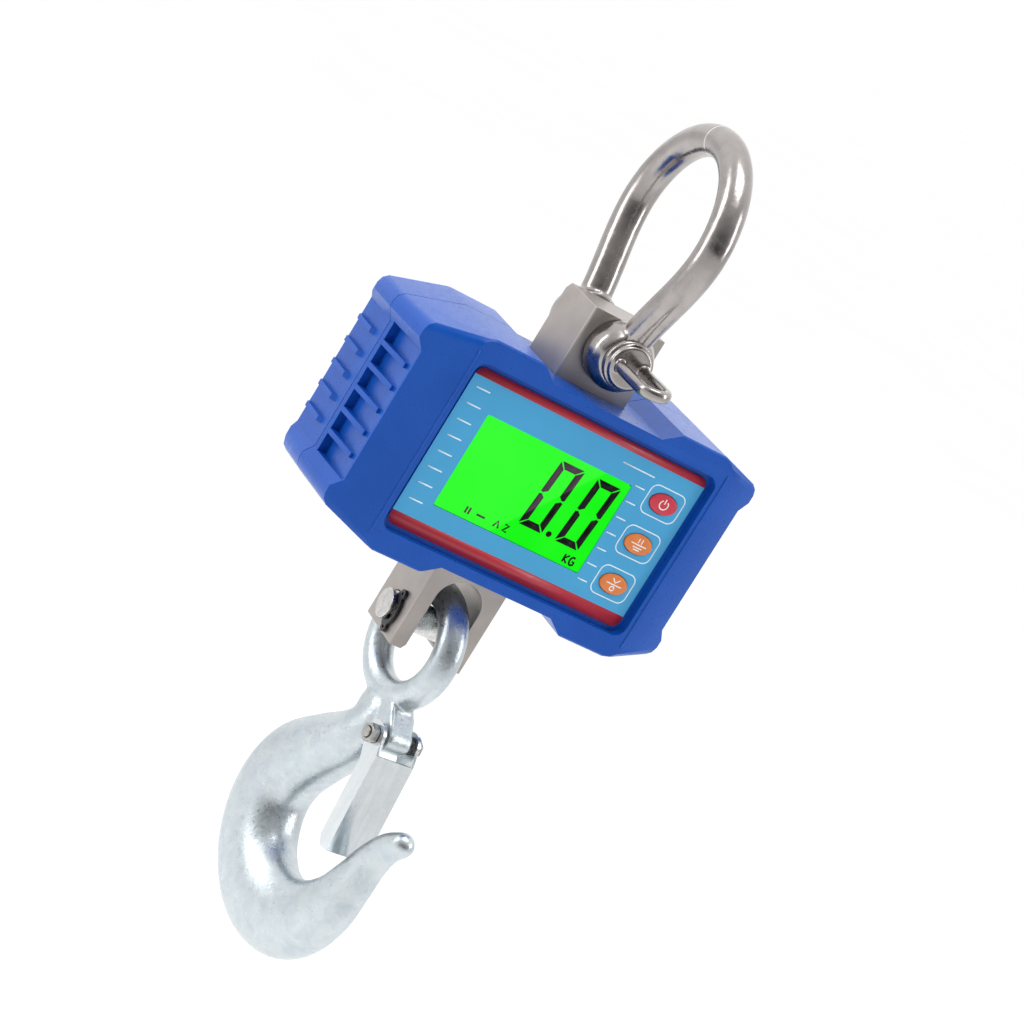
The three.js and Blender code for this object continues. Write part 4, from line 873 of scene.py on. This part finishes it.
def key_dome(name):
    """Key top and skirt: rings of an oval that shrink towards the crowned middle."""
    centre = middle(name)
    low, high = extent(name)
    a = around(64)
    rings = []
    for scale, y in [(1.0, high[1] - 2.0), (1.0, low[1] + 0.35), (0.985, low[1] + 0.1), (0.94, None),
                     (0.8, None), (0.6, None), (0.4, None), (0.2, None), (0.02, None)]:
        x = centre[0] + KEY_X * scale * np.cos(a)
        z = centre[2] + KEY_Z * scale * np.sin(a)
        height = low[1] + key_face(centre, x, z) if y is None else np.full(64, y)
        rings.append(np.stack([x, height, z], axis=1))
    return capped(np.array(rings))


def drawn(points, step=0.3):
    """Path of straight strokes with points every step millimetres, so that it can follow a crowned face."""
    points = np.asarray(points, float)
    length = np.concatenate([[0], np.cumsum(np.linalg.norm(np.diff(points, axis=0), axis=1))])
    at = np.linspace(0, length[-1], max(int(length[-1] / step), 2) + 1)
    return np.column_stack([np.interp(at, length, points[:, 0]), np.interp(at, length, points[:, 1])])


def arc(radius, start, end, centre=(0.0, 0.0)):
    """Points on a circle between two angles in degrees."""
    a = np.radians(np.linspace(start, end, 25))
    return np.column_stack([centre[0] + radius * np.cos(a), centre[1] + radius * np.sin(a)])


def key_marks(name):
    """White sign on a key: a broken ring with a bar, or two plain signs parted by a line."""
    centre = middle(name)
    low, _ = extent(name)
    bar = [(-3.7, 0), (3.7, 0)]
    signs = {
        "key_power": [arc(1.95, 125, 415), [(0, 0.4), (0, 2.6)]],
        "key_hold": [bar, [(-0.8, 0.7), (-0.8, 2.7)], [(0.8, 0.7), (0.8, 2.7)],
                     [(-2.2, -1.3), (2.2, -1.3)], [(-1.5, -2.3), (1.5, -2.3)]],
        "key_tare": [bar, [(-1.7, 2.6), (0, 0.9), (1.7, 2.6)], arc(0.95, 0, 350, (0, -1.75))]}
    strokes = []
    for path in signs[name]:
        points = drawn(path) + [centre[0], centre[2]]
        face = low[1] + key_face(centre, points[:, 0], points[:, 1])
        strokes.append(ribbon(points, 0.5, face, 0.05))
    return joined(*strokes)


class CRANE_OT_keys(bpy.types.Operator):
    """Build the three crowned keys with their signs"""

    bl_idname = "crane.keys"
    bl_label = "Keys"

    def execute(self, context):
        look = context.scene.crane_display
        red = key_rubber("power_rubber", tuple(look.power))
        orange = key_rubber("key_rubber", tuple(look.other))
        white = printed_film("key_print", (0.85, 0.82, 0.8), (0.8, 0.77, 0.75))
        for name, slot, finish in (("power", "red_key", red), ("hold", "orange_key", orange),
                                   ("tare", "orange_key", orange)):
            node = f"key_{name}"
            cap = piece(f"{name}_key_cap", mesh_of(f"{name}_key_cap", *key_dome(node)), f"{name}_key",
                        finish)
            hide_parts(node)
            piece(f"{name}_key_sign", mesh_of(f"{name}_key_sign", *key_marks(node)), f"{name}_key",
                  white)
        return {"FINISHED"}


# ------------------------ inside the housing
def cover(thing, finish):
    """Gives a solid part its finish."""
    thing.data.materials.clear()
    thing.data.materials.append(finish)


class CRANE_OT_inside(bpy.types.Operator):
    """Give the hidden pieces and the case screws their finishes"""

    bl_idname = "crane.inside"
    bl_label = "Inside"

    def execute(self, context):
        nodes = frame["nodes"]
        black = plain_plastic("black_abs", (0.015, 0.015, 0.017), 0.45)
        steel = plain_steel("screw_steel", (0.5, 0.5, 0.5), 0.35)
        silicone = plain_plastic("white_silicone", (0.75, 0.75, 0.72), 0.5)
        wrap = plain_plastic("battery_wrap", (0.03, 0.034, 0.04), 0.3)
        brass = plain_steel("contact_brass", (0.7, 0.52, 0.24), 0.3)
        jacket = plain_plastic("cable_jacket", (0.03, 0.03, 0.034), 0.55)
        finishes = {"display_board": board_laminate(), "buzzer": black, "battery_tray": black,
                    "cell_cable": jacket, "battery_contact_top": brass, "battery_contact_bottom": brass}
        for i in (1, 2, 3):
            finishes[f"key_switch_{i}"] = black
            finishes[f"battery_cell_{i}"] = wrap
        for i in (1, 2, 3, 4):
            finishes[f"board_screw_{i}"] = steel
            finishes[f"case_screw_{i}"] = steel
        for side in ("left", "right"):
            finishes[f"gauge_cover_{side}"] = silicone
            finishes[f"cell_bracket_{side}"] = steel
            finishes[f"bracket_screw_{side}"] = steel
        for node, finish in finishes.items():
            cover(nodes[node], finish)
        return {"FINISHED"}


# ------------------------ hook
# forward, up, width in the hook's plane, thickness across it
HOOK_LINE = np.array([
    [0, -36, 21, 14], [0, -47, 21, 17], [-7, -58, 25, 21], [-20, -69, 30, 25], [-32.5, -81, 35, 28],
    [-38, -94, 36.3, 29], [-36.8, -108.3, 37.5, 29], [-28.3, -122.8, 37.5, 28.5], [-13.3, -132.8, 37.2, 27],
    [4, -134.8, 35.5, 24], [19, -129, 32, 21], [30, -117.5, 27, 18], [36, -104, 21, 15.5],
    [40.5, -92, 16.5, 13], [46, -83, 13, 11.5], [53, -77.5, 10.5, 10.5]])


def hung(points):
    """From the hook's own frame to where it hangs: tilted about X, then twisted about Z, at the pin."""
    c, s = math.cos(TILT), math.sin(TILT)
    tilt = np.array([[1, 0, 0], [0, c, -s], [0, s, c]])
    c, s = math.cos(TWIST), math.sin(TWIST)
    twist = np.array([[c, -s, 0], [s, c, 0], [0, 0, 1]])
    return np.asarray(points, float).reshape(-1, 3) @ (twist @ tilt).T + HOOK_PIN


def hook_forging(ring_rod):
    """Hook bar on its spline, closed by a round nose, with the ring and the latch lug."""
    line = spline(HOOK_LINE, 150)
    end, step = line[-1], line[-1] - line[-2]
    step[:2] /= np.linalg.norm(step[:2])
    a = np.radians([20, 38, 54, 68, 80, 87])[:, None]
    nose = np.hstack([end[:2] + step[:2] * np.sin(a) * end[2] / 2, end[2:] * np.cos(a)])
    line = np.vstack([line, nose])
    path = np.column_stack([-line[:, 0], line[:, 1]])
    bar = capped(bar_in_plane(path, line[:, 2], line[:, 3], 56, 2.15))
    radius = RING_INNER + ring_rod / 2
    ring = ringed(torus(radius, ring_rod, (0, 0, RING_CROWN + ring_rod / 2 - radius)))
    a = around(48)
    y = np.concatenate([cy + r * np.cos(a) for cy, _, r in LUG_ROUNDS])
    z = np.concatenate([cz + r * np.sin(a) for _, cz, r in LUG_ROUNDS])
    support = np.argmax(np.outer(np.cos(a), y) + np.outer(np.sin(a), z), axis=1)
    first = np.unique(support, return_index=True)[1]
    outline = support[np.sort(first)]
    lug = np.array([np.column_stack([np.full(len(outline), x), y[outline], z[outline]])
                    for x in (-LUG_HALF, LUG_HALF)])
    return bar, ring, capped(lug)


class CRANE_OT_hook(bpy.types.Operator):
    """Build the forged eye hook"""

    bl_idname = "crane.hook"
    bl_label = "Hook"

    def execute(self, context):
        look = context.scene.crane_metal
        zinc = zinc_forging(tuple(look.zinc))
        points, faces = joined(*hook_forging(look.ring / MM))
        hook = piece("forged_hook", mesh_of("forged_hook", hung(points), faces),
                     "hook_body", zinc)
        melted(hook, voxel=0.85, rounds=9)
        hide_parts("hook")
        return {"FINISHED"}


# ------------------------ latch
def spring_wire():
    """Torsion spring of the latch: a close coil round the bolt."""
    return capped(helix(radius=3.6, wire=0.58, turns=2.9, start=6.6, end=7.8, centre=BOLT))


class CRANE_OT_latch(bpy.types.Operator):
    """Dress the safety latch, its bolt and nut, and wind its spring"""

    bl_idname = "crane.latch"
    bl_label = "Latch"

    def execute(self, context):
        sheet = zinc_sheet(tuple(context.scene.crane_metal.sheet))
        steel = plain_steel("bolt_steel", (0.45, 0.44, 0.42), 0.3)
        dark = plain_steel("spring_steel", (0.12, 0.12, 0.12), 0.35)
        eased("latch", "latch_plate", "safety_latch", sheet, 0.5)
        eased("latch_bolt", "latch_bolt_bar", "hook_body", steel, 0.3)
        eased("latch_nut", "latch_nut_hex", "hook_body", steel, 0.3)
        points, faces = spring_wire()
        spring = piece("latch_coil", mesh_of("latch_coil", hung(points), faces),
                       "hook_body", dark)
        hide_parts("latch_spring")
        return {"FINISHED"}


# ------------------------ stage
def camera_axes(roll):
    """Right, up and back of the camera: it looks from 29 degrees to the left of the front and 11 above,
    and is rolled about its own axis."""
    back = np.array([math.sin(AZIMUTH) * math.cos(ELEVATION), -math.cos(AZIMUTH) * math.cos(ELEVATION),
                     math.sin(ELEVATION)])
    level = np.array([math.cos(AZIMUTH), math.sin(AZIMUTH), 0])
    rise = np.cross(back, level)
    right = math.cos(roll) * level + math.sin(roll) * rise
    up = -math.sin(roll) * level + math.cos(roll) * rise
    return right, up, back


def soft_box(name, place, width, height, watts):
    """Rectangular area light that looks at the point aimed at."""
    lamp = bpy.data.lights.new(name, "AREA")
    lamp.shape = "RECTANGLE"
    lamp.size, lamp.size_y = width, height
    lamp.energy = watts
    thing = bpy.data.objects.new(name, lamp)
    thing.location = place
    thing.rotation_euler = (Vector(AIM * MM) - Vector(place)).to_track_quat("-Z", "Y").to_euler()
    bpy.context.scene.collection.objects.link(thing)


def studio_air():
    """Even white surroundings behind the object, dimmer on the viewer's side."""
    world = bpy.data.worlds.new("studio_air")
    bpy.context.scene.world = world
    world.use_nodes = True
    nodes, links = world.node_tree.nodes, world.node_tree.links
    nodes.clear()
    place = nodes.new("ShaderNodeTexCoord").outputs["Generated"]
    dot = nodes.new("ShaderNodeVectorMath")
    dot.operation = "DOT_PRODUCT"
    dot.inputs[1].default_value = (0.15, 0.72, 0.68)
    ramp = nodes.new("ShaderNodeMapRange")
    for key, value in (("From Min", -0.6), ("From Max", 0.7), ("To Min", 0.1), ("To Max", 1.62)):
        ramp.inputs[key].default_value = value
    air = nodes.new("ShaderNodeBackground")
    output = nodes.new("ShaderNodeOutputWorld")
    links.new(place, dot.inputs[0])
    links.new(dot.outputs["Value"], ramp.inputs["Value"])
    links.new(ramp.outputs["Result"], air.inputs["Strength"])
    links.new(air.outputs["Background"], output.inputs["Surface"])


class CRANE_OT_stage(bpy.types.Operator):
    """Set up the floor, the studio light and the camera"""

    bl_idname = "crane.stage"
    bl_label = "Stage"

    def execute(self, context):
        look = context.scene.crane_stage
        low = Vector(CAD_BOX[0])
        corners = np.array([[-1, -1], [1, -1], [1, 1], [-1, 1]]) * FLOOR_REACH / MM
        points = np.column_stack([corners, np.full(4, (low.z - look.drop) / MM)])
        mesh = bpy.data.meshes.new("studio_floor")
        mesh.from_pydata((points * MM).tolist(), [], [[0, 1, 2, 3]])
        mesh.materials.append(floor_paint(tuple(look.floor)))
        floor = bpy.data.objects.new("studio_floor", mesh)
        context.scene.collection.objects.link(floor)
        studio_air()
        for lamp in LAMPS:
            soft_box(*lamp)
        right, up, back = camera_axes(look.roll)
        lens = bpy.data.cameras.new("camera")
        lens.lens = look.lens
        lens.sensor_width = 36
        lens.clip_end = 100
        camera = bpy.data.objects.new("camera", lens)
        offset = right * CAMERA_OFFSET[0] + up * CAMERA_OFFSET[1]
        spot = (back * CAMERA_DISTANCE + offset + AIM) * MM
        turn = Matrix([right, up, back]).transposed().to_4x4()
        camera.matrix_world = Matrix.Translation(spot) @ turn
        context.scene.collection.objects.link(camera)
        context.scene.camera = camera
        context.scene.view_settings.view_transform = "Standard"
        return {"FINISHED"}


class CRANE_PT_panel(bpy.types.Panel):
    """Lists the steps that dress the crane scale"""

    bl_idname = "CRANE_PT_panel"
    bl_label = "Crane scale"
    bl_space_type = "VIEW_3D"
    bl_region_type = "UI"
    bl_category = "Crane scale"

    def draw(self, context):
        for group, names in (("crane_metal", ("stainless", "nickel", "zinc", "sheet", "rod", "ring")),
                             ("crane_housing", ("shell", "edge")),
                             ("crane_display", ("film", "stripe", "screen", "power", "other", "digit")),
                             ("crane_stage", ("lens", "roll", "drop", "floor"))):
            settings = getattr(context.scene, group)
            for name in names:
                self.layout.prop(settings, name)
        for step in STEPS:
            self.layout.operator(step.bl_idname)


GROUPS = {"crane_metal": MetalSettings, "crane_housing": HousingSettings,
          "crane_display": DisplaySettings, "crane_stage": StageSettings}
STEPS = (CRANE_OT_shackle, CRANE_OT_load_cell, CRANE_OT_housing, CRANE_OT_display, CRANE_OT_keys,
         CRANE_OT_inside, CRANE_OT_hook, CRANE_OT_latch, CRANE_OT_stage)


def register():
    for group in (*GROUPS.values(), *STEPS, CRANE_PT_panel):
        bpy.utils.register_class(group)
    for name, group in GROUPS.items():
        setattr(bpy.types.Scene, name, bpy.props.PointerProperty(type=group))


def unregister():
    for name in GROUPS:
        delattr(bpy.types.Scene, name)
    for group in (CRANE_PT_panel, *reversed(STEPS), *GROUPS.values()):
        bpy.utils.unregister_class(group)


def main():
    register()
    for step in STEPS:
        family, name = step.bl_idname.split(".")
        getattr(getattr(bpy.ops, family), name)()


if __name__ == "__main__":
    main()
